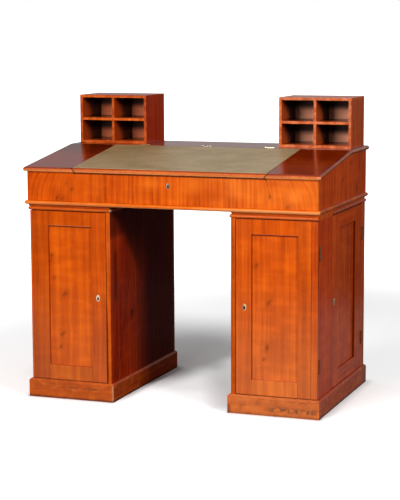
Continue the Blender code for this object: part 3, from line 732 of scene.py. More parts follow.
def ellipse(half_width, half_height, steps=36):
    """Points round an oval."""
    turns = [2 * math.pi * step / steps for step in range(steps)]
    return [(half_width * math.cos(turn), half_height * math.sin(turn)) for turn in turns]


def oblong(left, right, low, high):
    """Corners of an oblong."""
    return [(left, low), (right, low), (right, high), (left, high)]


def keyhole_profile():
    """A round hole over a slot."""
    half_slot = KEYHOLE_R / 2
    start = -math.acos(half_slot / KEYHOLE_R)
    points = []
    for step in range(KEYHOLE_STEPS + 1):
        turn = start + (math.pi - 2 * start) * step / KEYHOLE_STEPS
        points.append((KEYHOLE_R * math.cos(turn), KEYHOLE_R * math.sin(turn)))
    return points + [(-half_slot, -KEYHOLE_DROP), (half_slot, -KEYHOLE_DROP)]


def let_in(piece, *tools):
    """Cut the beds of fittings into a piece and put the tools away."""
    piece.modifiers.clear()
    for tool in tools:
        cut = piece.modifiers.new("bed", "BOOLEAN")
        cut.object = tool
        cut.solver = "EXACT"
    view = bpy.context.evaluated_depsgraph_get()
    cut_mesh = bpy.data.meshes.new_from_object(piece.evaluated_get(view))
    piece.modifiers.clear()
    piece.data = cut_mesh
    flatten(piece)
    for tool in tools:
        bpy.data.objects.remove(tool)


def board_profile(start, end, grooved):
    """Section of a stile or rail, with the panel's groove in one of its edges."""
    outline = [(start, 0), (end, 0)]
    for edge, outward in ((end, -1), (start, 1)):
        notch = []
        if edge == grooved:
            deep = edge + outward * GROOVE_DEEP
            notch = [(edge, GROOVE[0]), (deep, GROOVE[0]), (deep, GROOVE[1]), (edge, GROOVE[1])]
        if edge == end:
            outline += notch + [(end, DOOR_T), (start, DOOR_T)]
        else:
            outline += notch[::-1]
    return outline


def dress(node, finish):
    """Give a solid that shows as it is its finish."""
    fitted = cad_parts[node]
    fitted.material_slots[0].material = finish


for number, (door, (corner, across, inward, width, stiles, lipping)) in enumerate(DOORS.items()):
    upright = frame_of(corner, across, inward, UP)
    level = frame_of(corner, UP, inward, across)
    is_front = door.endswith("front")
    seed = 31.0 + 3.0 * number
    lock_edge = width - stiles[1]
    stile_edge_shade, rail_edge_shade, rubbed = EDGE_SHADE_AMOUNTS.get(door, USUAL_EDGE_SHADE)
    edges = shaded_frame_edges(corner, across, inward, width, (lipping,) if lipping else (), stile_edge_shade)
    low_edges = shaded_frame_edges(corner, across, inward, width, (stiles[0], lock_edge), rail_edge_shade)
    high_edges = shaded_frame_edges(corner, across, inward, width, (), stile_edge_shade, rubbed)
    stile_tone, rail_tone, panel_tone, stile_low_tint_and_sheen, panel_floor_sheen = DOOR_TONES[door]
    hue, low_hue, rail_grain = (FRONT_HUE, LOW_RAIL_HUE, "Z") if is_front else (SIDE_HUE, SIDE_HUE, "Y")
    stile_run = (DOOR_LOW, DOOR_HIGH, upright)
    rail_run = (stiles[0] + JOINT, lock_edge - JOINT, level)
    hinge_section = (lipping + (JOINT if lipping else 0), stiles[0], stiles[0])
    lengths = [("hinge_stile", hinge_section, stile_run, 0.0, stile_tone[0], edges, hue, stile_low_tint_and_sheen)]
    if lipping:
        lipping_tone = sum(stile_tone) / 2
        lengths.append(("lipping", (0, lipping, None), stile_run, 0.4, lipping_tone, edges, LIPPING_HUE,
                        stile_low_tint_and_sheen))
    low_section = (DOOR_LOW, DOOR_LOW + RAIL, DOOR_LOW + RAIL)
    high_section = (DOOR_HIGH - RAIL, DOOR_HIGH, DOOR_HIGH - RAIL)
    lengths += [
        ("lock_stile", (lock_edge, width, lock_edge), stile_run, 0.7, stile_tone[1], edges, hue, stile_low_tint_and_sheen),
        ("lower_rail", low_section, rail_run, 1.7, rail_tone[1], low_edges, low_hue, panel_floor_sheen),
        ("upper_rail", high_section, rail_run, 1.3, rail_tone[0], high_edges, hue, None),
    ]
    # The tint near the floor: where it is pale, a painted sheen for the floor seen in the polish.
    for part, section, (start, end, place), later, tone, wear, part_hue, cloud in lengths:
        grain = rail_grain if part.endswith("rail") else "Z"
        wood = cherry(f"{door}_{part}_cherry", grain, 0, seed + later, tone, wear=wear, hue=part_hue,
                      low_tint_and_sheen=cloud, shine=0.07 if part == "upper_rail" else 0.11)
        profile = board_profile(*section)
        piece = worked_length(f"{door}_{part}", profile, start, end, place, wood, arris=DOOR_ARRIS)
        settle(piece, f"{door}_door", "cherry", f"{door}_door_frame")
        if part == "lock_stile":
            key_spot = upright @ Vector((width - KEY_BACKSET, 0, KEY_HEIGHT))
            face_on = frame_of(key_spot, across, UP, inward)
            plate_bed = ellipse(PLATE[0] + JOINT, PLATE[1] + JOINT)
            lock_bed = oblong(width - LOCK[0], width + LOCK[0], DOOR_T - LOCK[2], 2 * DOOR_T)
            low, high = KEY_HEIGHT - LOCK[1] / 2, KEY_HEIGHT + LOCK[1] / 2
            let_in(
                piece,
                worked_length("plate_tool", plate_bed, -DOOR_T, PLATE_DEEP, face_on, wood, arris=0),
                worked_length("key_tool", keyhole_profile(), -DOOR_T, DOOR_T, face_on, wood, arris=0),
                worked_length("lock_tool", lock_bed, low, high, upright, wood, arris=0),
            )
    face = DOOR_FACE + PANEL_SUNK if is_front else math.copysign(BODY_HALF - PANEL_SUNK, corner[0])
    border = shaded_panel_border(corner, across, stiles[0], lock_edge, DOOR_LOW + RAIL, DOOR_HIGH - RAIL)
    panel_wood = cherry(f"{door}_panel_cherry", "Z", face, seed + 2.2, panel_tone, 36.0, wear=border, hue=hue,
                        knots=PANEL_KNOTS.get(door, ()), low_tint_and_sheen=panel_floor_sheen, mottle=0.16)
    dress(f"{door}_door_panel", panel_wood)


# Door hinges: cast brass butts, each turning on a pin. The fixed leaf is let into the outer side, the moving
# leaf into the edge of the door, and the knuckles stand just outside the corner.
HINGE_PLACES = {"upper": 0.7075, "lower": 0.222}
HINGE_LENGTH = 0.060
LEAF_WIDE = 0.014
LEAF_BED = 0.0013
LEAF_PROUD = 0.0002
LEAF_ARRIS = 0.0002
TONGUE_END = 0.0006
KNUCKLE = 0.0033
KNUCKLE_STEPS = 20
KNUCKLE_ARRIS = 0.0003
STAND = 0.0037
PIN_PROUD = 0.0005
LEAF_SCREWS = (-0.0225, 0.0, 0.0225)
LEAF_SCREW_SIZE = (0.0021, 0.0006)
BRASS_BROWN = (0.20, 0.125, 0.055)
BRASS_BRIGHT = (0.50, 0.36, 0.17)
HINGE_FILM = (0.85, (0.17, 0.052, 0.024))


def brass_finish(name, seed, tone=1.0, coat_and_highlight=(0.0, (0.0, 0.0, 0.0)), metallic=1.0):
    """Brass gone dull: brown in the hollows, brighter in patches, under a coat of some colour, on one hinge a
    highlight.
    """
    surface, (x, y, z) = new_finish(name)
    tarnish = noise(point(x, y + seed, z), 140.0, 4.0, 0.6)
    brown, bright = ([part * tone for part in brass] for brass in (BRASS_BROWN, BRASS_BRIGHT))
    colour = blend(coat_and_highlight[0], ramp(tarnish, (0.35, brown), (0.65, bright)), coat_and_highlight[1])
    return finished(surface, colour, spread(tarnish, 0.3, 0.7, 0.55, 0.32), metallic=metallic)


def barrel(name, radius, start, end, place, finish):
    """A round knuckle along Z of place with eased ends."""
    ring = ellipse(radius, radius, KNUCKLE_STEPS)
    return worked_length(name, ring, start, end, place, finish, arris=KNUCKLE_ARRIS)


door_brass = brass_finish("door_hinge_brass", 0.4, 0.80, HINGE_FILM, 0.30)
for door, (corner, across, inward, *_) in DOORS.items():
    lays_on = door.endswith("front")
    place = frame_of(corner, across, inward, UP)
    for end, height in HINGE_PLACES.items():
        dress(f"{door}_hinge_{end}", door_brass)
        if lays_on:
            pin = (-STAND, DOOR_T + PIN_PROUD)
            faces = (DOOR_T - LEAF_BED, DOOR_T + LEAF_PROUD)
            leaf = oblong(LEAF_PROUD, LEAF_WIDE, *faces)
            tongue = oblong(pin[0], TONGUE_END, *faces)
        else:
            pin = (-PIN_PROUD, -STAND)
            leaf = oblong(-LEAF_PROUD, LEAF_BED, LEAF_PROUD, LEAF_WIDE)
            tongue = oblong(-LEAF_PROUD, LEAF_BED, pin[1], TONGUE_END)
        ends = (height - HINGE_LENGTH / 2, height + HINGE_LENGTH / 2)
        third = (height - HINGE_LENGTH / 6, height + HINGE_LENGTH / 6)
        along_pin = place @ Matrix.Translation((*pin, 0))
        parts = (
            worked_length(f"{door}_leaf_{end}", leaf, *ends, place, door_brass, arris=LEAF_ARRIS),
            worked_length(f"{door}_tongue_{end}", tongue, *third, place, door_brass, arris=LEAF_ARRIS),
            barrel(f"{door}_knuckle_{end}", KNUCKLE, *third, along_pin, door_brass),
        )
        for part in parts:
            settle(part, f"{door}_door", "brass", f"{door}_door_frame")
        leaf_screws = []
        for rise in LEAF_SCREWS:
            if lays_on:
                spot = place @ Vector((LEAF_WIDE / 2, DOOR_T + LEAF_PROUD, height + rise))
                leaf_screws.append(frame_of(spot, across, UP, inward))
            else:
                spot = place @ Vector((-LEAF_PROUD, LEAF_WIDE / 2, height + rise))
                leaf_screws.append(frame_of(spot, inward, UP, [-step for step in across]))
        screws = heads(f"{door}_leaf_screws_{end}", leaf_screws, *LEAF_SCREW_SIZE, door_brass)
        settle(screws, f"{door}_door", "brass")


# Door locks: an iron case screwed into the back of the lock stile, a brass bolt that the key throws, and an
# oval key plate of bone let into the face, with a keyhole cut through plate and stile.
LOCK_SCREW = 0.0065
LOCK_SCREW_SIZE = (0.0025, 0.0007)
BONE_LIGHT = (0.80, 0.70, 0.48)
BONE_DEEP = (0.48, 0.34, 0.17)
BONE_DARK_SIDE = (0.10, 0.09, 0.10)
KEYHOLE_DIRT = (0.015, 0.010, 0.007)
KEYHOLE_MIDDLE = 0.003
PLATE_COLOURS = {"right_front": ((0.80, 0.57, 0.24), (0.40, 0.23, 0.08), True)}


def bone_finish(name, keyhole, across, light=BONE_LIGHT, deep=BONE_DEEP, dark_side=False):
    """Yellowed bone with brown dirt in its pores and round the keyhole, and perhaps darker along one side."""
    surface, place = new_finish(name)
    x, y, z = place
    dirt = noise(point(x, y, z * 0.4), 420.0, 4.0, 0.6)
    colour = ramp(dirt, (0.30, deep), (0.58, light))
    aside = reach(place, keyhole, across)
    rise = z - (keyhole[2] - KEYHOLE_MIDDLE)
    if dark_side:
        # Darker along one side of the plate.
        colour = blend(spread(aside, 0.0010, 0.0045, 0.0, 0.85), colour, BONE_DARK_SIDE)
    far = worked("SQRT", aside * aside + rise * rise * 0.35)
    colour = blend(spread(far, 0.0058, 0.0040), colour, KEYHOLE_DIRT)
    return finished(surface, colour, spread(dirt, 0.3, 0.7, 0.5, 0.36))


lock_iron = iron_finish("lock_iron")
bolt_brass = brass_finish("bolt_brass", 2.2)
for door, (corner, across, inward, width, *_) in DOORS.items():
    upright = frame_of(corner, across, inward, UP)
    key_spot = upright @ Vector((width - KEY_BACKSET, 0, KEY_HEIGHT))
    bone = bone_finish(f"{door}_plate_bone", key_spot, across, *PLATE_COLOURS.get(door, ()))
    corners = []
    for out in (LOCK[0] - LOCK_SCREW, LOCK_SCREW):
        for rise in (LOCK[1] / 2 - LOCK_SCREW, LOCK_SCREW - LOCK[1] / 2):
            spot = upright @ Vector((width - out, DOOR_T, KEY_HEIGHT + rise))
            corners.append(frame_of(spot, across, UP, inward))
    settle(heads(f"{door}_lock_screws", corners, *LOCK_SCREW_SIZE, lock_iron), f"{door}_door", "iron")
    dress(f"{door}_lock_case", lock_iron)
    dress(f"{door}_lock_bolt", bolt_brass)
    dress(f"{door}_escutcheon", bone)


# Upper case: a floor whose half-round edge is the waist moulding, a veneered front rail with upright grain,
# two side boards and a plain back, all glued together and set on the pedestals.
WAIST_FRONT = -0.402
WAIST_LOW = 0.8735
WAIST_ARRIS = 0.0006
WAIST_ENDS = ((0.05, 0.26), (0.35, 0.04), (0.60, 0.05), (0.85, 0.62))
WAIST_PALE = (0.74, 0.32, 0.115)
WAIST_FLOOR_REFLECTION = (0.64, 0.30, 0.13)
WAIST_HUE = (1.0, 1.24, 0.50)
WAIST_SPAN = (-0.68, 0.68)
RAIL_FACE = -0.388
RAIL_ARRIS = 0.0008
RAIL_BENDS = ((-0.57, 0.09, -2.6, 0.885), (0.58, 0.10, 2.6, 0.885))
RAIL_KNOTS = ((-0.480, 0.972, 0.006), (-0.452, 0.947, 0.006), (-0.525, 0.905, 0.007), (-0.501, 0.905, 0.006),
              (0.459, 0.943, 0.006), (0.538, 0.903, 0.005))
RAIL_CRACKS = ((-0.4386, 1.0200, -0.4389, 0.9950), (0.4425, 1.0200, 0.4587, 0.9427))
RAIL_CLOUDS = (
    (-0.495, 0.965, 0.040, 0.05, 0.24), (-0.335, 0.970, 0.025, 0.08, 0.36),
    (-0.085, 0.985, 0.045, 0.03, 0.55), (0.115, 0.985, 0.050, 0.04, 0.62),
    (0.305, 0.975, 0.040, 0.04, 0.42), (0.565, 0.948, 0.035, 0.03, 0.60),
    (-0.412, 0.955, 0.025, 0.04, -0.35), (-0.225, 0.975, 0.030, 0.05, -0.18),
    (0.015, 0.970, 0.040, 0.06, -0.25), (0.210, 0.942, 0.050, 0.03, -0.62),
    (0.468, 1.000, 0.045, 0.02, -0.60), (0.655, 0.970, 0.025, 0.06, -0.25),
)
PALE_CLOUD = (1.0, 0.208, 0.020)
DARK_CLOUD = (0.50, 0.054, 0.003)
RAIL_SPAN = (-0.67, 0.67)
RAIL_TONES = (
    (0.0, (0.86, 0.74, 0.34)),
    (0.5, (0.92, 0.88, 0.48)),
    (0.68, (0.88, 0.84, 0.52)),
    (0.8, (1.00, 1.14, 1.20)),
    (1.0, (1.02, 1.18, 1.20)),
)
RAIL_NOSING_SHADE = (0.045, 0.008, 0.003)
JOINT_DIRT = (0.03, 0.006, 0.002)
LID_END = 0.447
CASE_KNOTS = {"right": ((0.811, 1.051, 0.009), (0.905, 0.927, 0.020), (0.670, 0.985, 0.006))}
CASE_HUE = (1.0, 0.76, 0.90)


def sunned(colour, place):
    """Waist: rubbed pale at its front ends, a painted floor reflection along its lower edge, dark on its
    returns.
    """
    x, y, z = place
    ends = ramp(spread(x, *WAIST_SPAN), *((where, (share,) * 3) for where, share in WAIST_ENDS))
    in_front = spread(y, WAIST_FRONT + 0.006, WAIST_FRONT + 0.003)
    colour = blend(ends * in_front, colour, WAIST_PALE)
    # Painted reflection of the floor, in patches, along the lower edge of the waist.
    worn = spread(noise(point(x, y, z), 40.0, 4.0, 0.65), 0.30, 0.55, 0.25, 0.70)
    colour = blend(spread(z, WAIST_LOW + 0.0065, WAIST_LOW + 0.0035) * worn, colour, WAIST_FLOOR_REFLECTION)
    return darker_returns(colour, place)


def aged_rail(colour, place):
    """Front rail: a redder left end, a golden right end, painted shade under the nosing, and two shrinkage
    cracks.

    Its figure is cloudy, each cloud paler than the rest or, with a minus, darker.
    """
    x, _, z = place
    for cloud_x, cloud_z, wide, tall, change in RAIL_CLOUDS:
        cloud = bell(x - cloud_x, wide) * bell(z - cloud_z, tall)
        colour = blend(cloud * abs(change), colour, PALE_CLOUD if change > 0 else DARK_CLOUD)
    colour = tinted(colour, ramp(spread(x, *RAIL_SPAN), *RAIL_TONES))
    # Painted shade on the rail just under the nosing, deeper under the lid than at its ends.
    under_lid = spread(abs(x), LID_END, LID_END - 0.003) * 0.50 + 0.40
    colour = blend(spread(z, 1.0105, 1.0180) * under_lid, colour, RAIL_NOSING_SHADE)
    for high_x, high_z, low_x, low_z in RAIL_CRACKS:
        tall, middle = high_z - low_z, (high_z + low_z) / 2
        lean = (high_x - low_x) / tall
        aside = x - (z * lean + (high_x - lean * high_z))
        run = spread(z, low_z, low_z + 0.2 * tall) * spread(abs(z - middle), 0.0, tall / 2, 0.35, 0.9)
        colour = blend(bell(aside, 0.0020) * run * 0.8, colour, JOINT_DIRT)
    return colour


waist_wood = cherry("waist_cherry", "X", seed=51.0, tone=1.22, shine=0.06, wear=sunned, hue=WAIST_HUE)
carcase_board("case_floor", WAIST_ARRIS, waist_wood)
rail_wood = cherry("front_rail_cherry", "Z", RAIL_FACE, 53.0, 1.11, 60.0, 1.25, RAIL_BENDS, RAIL_KNOTS,
                   shine=0.05, wear=aged_rail)
carcase_board("case_front_rail", RAIL_ARRIS, rail_wood)
for side, seed in (("left", 55.0), ("right", 57.0)):
    node = f"case_{side}_side"
    wood = cherry(node + "_cherry", "Z", seed=seed, tone=0.94, knots=CASE_KNOTS.get(side, ()), hue=CASE_HUE)
    carcase_board(node, RAIL_ARRIS, wood)
carcase_board("case_back", BACK_ARRIS, plain_wood("case_back_wood", "X", 8.8), "cherry_dark")


# Writing top: one board, bent at the crest, with a half-round nosing, cut away in the middle for the lid. It is
# polished brighter than the rest and shows the boxes in it, the left one partly as a painted reflection, but
# hands have worn its nosing dull. Its lower half is painted pale as a highlight.
TOP_SLOPE = 0.1354
TOP_FACE = (1.0885, 1.0935)
CREST_FACE = (1.1035, 1.1070)
NOSE_TOP = 1.0400
NOSE_FRONT = (-0.386, -0.394)
NOSE_POLISH = 0.10
TOP_ENDS = (0.668, 0.672)
LID_HALF = 0.449
LID_LEAN = 0.70
WRITING_ARRIS = 0.0006
BOX_REFLECTION_DARK = (0.05, 0.003, 0.001)
NOSE_HIGHLIGHT = (0.96, 0.37, 0.11)
NOSE_SPECKS = (0.07, 0.014, 0.005)


def upper_side(place):
    """The upper face of the sloping top and the lid, and the level strip behind the crest."""
    _, y, z = place
    return most(spread(z - y * TOP_SLOPE, *TOP_FACE), spread(z, *CREST_FACE))


def upper_polish(place):
    """The upper face and the ends of the top and lid are polished, the nosing a little, the underside not."""
    edges = most(spread(place[1], -0.386, -0.392, 0.0, NOSE_POLISH), spread(abs(place[0]), *TOP_ENDS))
    return most(upper_side(place), edges)


def jointed(tone_above):
    """Top and lid: the polish above has gone dark, with a painted reflection of the left box; the nosing is
    painted pale below as a highlight and specked dark, and dirt fills its slanting joints.
    """
    def wear(colour, place):
        x, y, z = place
        # Painted dark reflection of the left box in the polished top beside it.
        box_reflection = spread(x, -0.40, -0.48, 0.0, 0.60) * spread(y, -0.16, 0.02)
        dull = blend(box_reflection, tinted(colour, tone_above), BOX_REFLECTION_DARK)
        colour = darker_returns(blend(upper_side(place), colour, dull), place)
        in_front = spread(y, *NOSE_FRONT)
        # Painted highlight: the lower half of the front nosing is painted pale.
        under = spread(z, NOSE_TOP - 0.010, NOSE_TOP - 0.016, 0.0, 0.80) * in_front
        colour = blend(under, colour, NOSE_HIGHLIGHT)
        specks = spread(noise(point(x, y, z * 1.5), 95.0, 4.0, 0.7), 0.54, 0.68, 0.0, 0.60)
        colour = blend(specks * spread(y, -0.388, -0.394), colour, NOSE_SPECKS)
        aside = abs(x) + (NOSE_TOP - z) * LID_LEAN - LID_HALF
        return blend(bell(aside, 0.0036) * in_front * 0.92, colour, JOINT_DIRT)
    return wear


top_wood = cherry("writing_top_cherry", "X", seed=61.0, tone=0.95, figure=60.0, depth=1.2, gloss=0.17,
                  shine=0.42, wear=jointed((0.50, 0.225, 0.26)), polished=upper_polish, hue=(1.0, 1.20, 0.60))
carcase_board("writing_top", WRITING_ARRIS, top_wood)


# Lid: the middle of the same board as the top, cut out with undercut ends and hinged along the crest, with its
# nosing in line with the top's. It is polished like the top where the leather leaves it bare.
lid_wood = cherry("lid_cherry", "X", seed=64.0, tone=0.95, figure=60.0, depth=0.8, gloss=0.18, shine=0.35,
                  wear=jointed((0.6, 0.40, 0.75)), polished=upper_polish, hue=(1.08, 1.32, 0.60))
settle(softened("lid", "lid_board", WRITING_ARRIS, lid_wood), "writing_lid", "cherry", "lid")


# Lid leather: a worn olive-tan hide, cut to the width of the lid and glued to it behind the wooden nosing. The
# dye is mottled, painted darker and redder at the left for the box seen in it and a touch paler at the right.
HIDE_DEEP = (0.36, 0.240, 0.104)
HIDE_LIGHT = (0.58, 0.420, 0.220)
HIDE_BOX_REFLECTION = (0.88, 0.84, 0.78)
HIDE_SHEEN_TINT = (1.02, 1.03, 1.04)
HIDE_ARRIS = 0.0005


def hide_finish(name):
    """Dyed hide, fine-grained, painted darker at the left for the box seen in it and paler at the right for
    sheen.
    """
    surface, (x, y, z) = new_finish(name)
    cloud = noise(point(x, y * 1.6, z), 7.0, 4.0, 0.6)
    speck = noise(point(x, y, z), 160.0, 3.0, 0.6)
    colour = ramp(cloud * 0.7 + speck * 0.3, (0.32, HIDE_DEEP), (0.68, HIDE_LIGHT))
    # Painted reflection: darker and redder towards the left, where the box shows in the leather.
    colour = blend(spread(x, -0.40, 0.10), tinted(colour, HIDE_BOX_REFLECTION), tinted(colour, HIDE_SHEEN_TINT))
    grain = bump(noise(point(x, y, z), 900.0, 3.0, 0.55), 0.3, 0.0004)
    return finished(surface, colour, spread(speck, 0.3, 0.7, 0.46, 0.34), grain, 0.6)


leather = softened("lid_leather", "writing_leather", HIDE_ARRIS, hide_finish("olive_hide"))
settle(leather, "writing_lid", "leather", "lid_leather")


# Lid hinges: three brass butts on the crest, their fixed leaves let into the edge of the top and the moving
# leaves into the lid, with the knuckles proud of the polish.
# Each lid hinge: its place across, tone and coat. The right one's pale coat and bright tone are a painted
# highlight; the left one is tinted dark red-brown like the reflection round it, the middle one greyed.
LID_HINGES = {
    "left": (-0.303, 0.50, (0.85, (0.42, 0.16, 0.07))),
    "middle": (0.0, 0.80, (0.80, (0.55, 0.45, 0.42))),
    "right": (0.303, 0.95, (0.70, (0.96, 0.90, 0.72))),
}
LID_PIN = (0.100, 1.11113)
LID_KNUCKLE = 0.00345
LID_KNUCKLE_HALF = 0.0077
LID_LEAF = (0.0020, 0.0002, 0.0098)


def board(name, low, high, finish, arris=0.0006):
    """A square-edged board between two corners."""
    profile = oblong(0, high[0] - low[0], 0, high[1] - low[1])
    corner = Matrix.Translation((low[0], low[1], 0))
    return worked_length(name, profile, low[2], high[2], corner, finish, arris=arris)


for where, (across, tone, coat_and_highlight) in LID_HINGES.items():
    lid_brass = brass_finish(f"lid_hinge_{where}_brass", 5.5 + across, tone, coat_and_highlight)
    dress(f"lid_hinge_{where}", lid_brass)
    along_pin = frame_of((across, *LID_PIN), (0, 1, 0), UP, (1, 0, 0))
    knuckle = barrel(f"lid_knuckle_{where}", LID_KNUCKLE, -LID_KNUCKLE_HALF, LID_KNUCKLE_HALF, along_pin,
                     lid_brass)
    leaf_low = (across - LID_KNUCKLE_HALF, LID_PIN[0] - LID_LEAF[0], LID_PIN[1] - LID_LEAF[2])
    leaf_high = (across + LID_KNUCKLE_HALF, LID_PIN[0] - LID_LEAF[1], LID_PIN[1])
    leaf = board(f"lid_leaf_{where}", leaf_low, leaf_high, lid_brass, LEAF_ARRIS)
    for part in (knuckle, leaf):
        settle(part, "writing_lid", "brass", "lid")


# Lid lock: an iron box lock in the front rail. Its bolt slides through the eye of a staple under the lid, and
# the key goes in through a bone plate on the rail.
LID_KEY = (0.0, RAIL_FACE, 0.9745)
lid_bone = bone_finish("lid_plate_bone", LID_KEY, (1, 0, 0), (0.40, 0.31, 0.22), (0.20, 0.14, 0.09), True)
dress("lid_lock_case", lock_iron)
dress("lid_lock_bolt", bolt_brass)
dress("lid_staple", lock_iron)
dress("lid_escutcheon", lid_bone)


# Pigeonhole boxes: five thin boards glued round a shelf and an upright that are halved into each other. They
# stand on the flat strip at the ends of the top, and are left without polish inside.
BOX_FAR = 0.661
BOX_NEAR = 0.323
BOX_FRONT = 0.166
BOX_BACK = 0.392
BOX_LOW = 1.1083
BOX_HIGH = 1.3343
BOX_T = 0.013
BOX_BACK_T = 0.010
BOX_DIVIDER = 0.006
SHELF_PLAY = 0.0003
SHELF_SET_BACK = 0.0004
SHELF_BACK = BOX_BACK - BOX_BACK_T - SHELF_PLAY
SHELF_FRONT = BOX_FRONT + SHELF_SET_BACK
BOX_BARE = (0.44, 0.050, 0.002)
BOX_INSIDE_SHADE = (0.014, 0.005, 0.003)
BOX_RUBBED = ((0.74, 0.66, 0.50), (1.14, 1.20, 1.05))
BOX_CHAFED = (0.67, 0.32, 0.17)
CELL_TOP_SHADOW = (0.010, 0.004, 0.003)
# Box tones: the boards' tone, the backs' light and deep wood, the painted light on the backs, the outer walls'
# tone.
BOX_TONES = {
    "left": (0.86, (0.56, 0.130, 0.050), (0.30, 0.055, 0.020), (0.74, 0.180, 0.072), (0.72, 0.34, 0.10)),
    "right": (0.94, (0.98, 0.360, 0.215), (0.46, 0.140, 0.075), (0.98, 0.440, 0.260), (0.96, 0.80, 0.90)),
}


def share_of_cell(value, start, size):
    """How far a point has come through its cell, of the two that fill a size."""
    return worked("FRACT", (value - start) * (2 / size))


def shaded_box_wear(left_end, right_end, wall_tone, chafe):
    """Box boards: bare wood inside under painted shade that goes nearly black deep in each cell, and a tone
    outside.
    """
    def wear(colour, place):
        x, y, z = place
        level = least(least(x - left_end, right_end - x), BOX_HIGH - z)
        up = share_of_cell(z, BOX_LOW, BOX_HIGH - BOX_LOW)
        depth = up * 0.11 + (y - BOX_FRONT) + spread(up, 0.16, 0.07, 0.0, 0.04)
        bare = spread(level, 0.004, 0.009) * spread(y, BOX_FRONT + 0.001, BOX_FRONT + 0.006)
        colour = blend(bare * 0.88, colour, BOX_BARE)
        # Painted shade inside each cell: darker further in and higher up, near black at the back.
        colour = blend(bare * spread(depth, 0.075, 0.185) * 0.94, colour, BOX_INSIDE_SHADE)
        rub = noise(point(x * 0.5, y, z * 0.5), 60.0, 4.0, 0.65)
        edge = spread(y, BOX_FRONT + 0.004, BOX_FRONT + 0.001)
        colour = blend(edge, colour, tinted(colour, blend(spread(rub, 0.38, 0.62), *BOX_RUBBED)))
        colour = blend(edge * spread(rub, 0.42, 0.60) * chafe, colour, BOX_CHAFED)
        return blend(spread(level, 0.0020, 0.0005), colour, tinted(colour, wall_tone))
    return wear


def lit_and_shaded_cells(left_end, rubbed):
    """Box backs: painted light towards the left of each cell, and a painted shadow of its top over its upper
    part.
    """
    def wear(colour, place):
        x, y, z = place
        across = share_of_cell(x, left_end, BOX_FAR - BOX_NEAR)
        up = share_of_cell(z, BOX_LOW, BOX_HIGH - BOX_LOW)
        in_front = spread(y, BOX_BACK - 0.004, BOX_BACK - 0.007)
        # Painted light towards the left of each cell's back, and a painted shadow over its upper part.
        colour = blend(spread(across, 0.55, 0.10, 0.25, 0.85) * in_front, colour, rubbed)
        return blend(spread(up, 0.34, 0.62, 0.0, 0.95) * in_front, colour, CELL_TOP_SHADOW)
    return wear


for side, sign in SIDES.items():
    box = f"{side}_box"
    tone, back_light, back_deep, back_painted_light, wall_tone = BOX_TONES[side]
    left_end, right_end = sorted((sign * BOX_NEAR, sign * BOX_FAR))
    left, right, low, high = left_end + BOX_T, right_end - BOX_T, BOX_LOW + BOX_T, BOX_HIGH - BOX_T
    middle_x, middle_z = (left_end + right_end) / 2, (BOX_LOW + BOX_HIGH) / 2
    box_shade_and_wear = shaded_box_wear(left_end, right_end, wall_tone, 0.12 + 0.07 * sign)
    pale = 0.07 + 0.07 * sign
    flat = cherry(f"{box}_level_cherry", "X", seed=71.0 + sign, tone=tone + 0.08, gloss=0.2, pale=pale,
                  wear=box_shade_and_wear)
    upright = cherry(f"{box}_upright_cherry", "Z", seed=74.0 + sign, tone=tone, pale=pale, wear=box_shade_and_wear)
    bare = plain_wood(f"{box}_back_wood", "X", 77.0 + sign, back_light, back_deep,
                      lit_and_shaded_cells(left_end, back_painted_light))
    boards = (
        ("top", (left_end, BOX_FRONT, high), (right_end, BOX_BACK, BOX_HIGH), flat, "case"),
        ("bottom", (left, BOX_FRONT, BOX_LOW), (right, BOX_BACK, low), flat, "case"),
        ("left_wall", (left_end, BOX_FRONT, BOX_LOW), (left, BOX_BACK, high), upright, "case"),
        ("right_wall", (right, BOX_FRONT, BOX_LOW), (right_end, BOX_BACK, high), upright, "case"),
        ("back", (left, BOX_BACK - BOX_BACK_T, low), (right, BOX_BACK, high), bare, "case"),
        ("shelf", (left, SHELF_FRONT, middle_z - BOX_DIVIDER), (right, SHELF_BACK, middle_z + BOX_DIVIDER),
         flat, "divider"),
        ("upright", (middle_x - BOX_DIVIDER, BOX_FRONT, low), (middle_x + BOX_DIVIDER, SHELF_BACK, high),
         upright, "divider"),
    )
    for part, near_corner, far_corner, wood, solid in boards:
        slot = "cherry_dark" if part == "back" else "cherry"
        settle(board(f"{box}_{part}", near_corner, far_corner, wood), "carcase", slot, f"{box}_{solid}")


# Studio: a plain pale floor and a white surround, a large soft lamp in front at the left, weaker ones at the
# right and low behind, and the camera where the photograph was taken from. The floor throws little light back
# and shows pale in the polish only near the desk, so that the desk's faces keep their colour.
FLOOR_REACH = 60.0
FLOOR_DROP = 0.0003
FLOOR_COLOUR = (0.86, 0.86, 0.86)
FLOOR_ROUGH = 0.9
WHITE = (1.0, 1.0, 1.0)
# Lifts of the floor to white, lowered where the desk's shadows are painted on it and raised in a painted light.
FLOOR_LIFT = 0.50
FLOOR_CORE = 0.44
FLOOR_FAR_LIFT = 0.95
FLOOR_BESIDE = 0.25
FLOOR_BEFORE = 0.45
FLOOR_AISLE = 0.25
FLOOR_GLEAM = 0.11
FLOOR_FOOT = 0.34
FLOOR_BOUNCE = 0.10
FLOOR_IN_POLISH = 0.35
KEY_SLANT = 0.204
FRONT_SURROUND, REAR_SURROUND = 0.36, 0.14
FRONT_POLISH, REAR_POLISH = 0.07, 0.42
LAMPS = (
    ("key_lamp", (-1.3, -6.4, 2.4), (0, -0.1, 0.65), 2.4, 320.0),
    ("fill_lamp", (4.58, -3.09, 3.0), (0, 0, 0.65), 1.2, 144.0),
    ("rear_lamp", (-5.4, 3.4, 0.8), (0, 0.3, 0.6), 1.4, 120.0),
)
CAMERA_SPOT = (2.492, -6.722, 1.672)
CAMERA_TURN = math.radians(20.325)
CAMERA_DROP = math.radians(8.151)
CAMERA_ROLL = math.radians(-0.219)
CAMERA_LENS = 114.70
CAMERA_FILM = 36.0


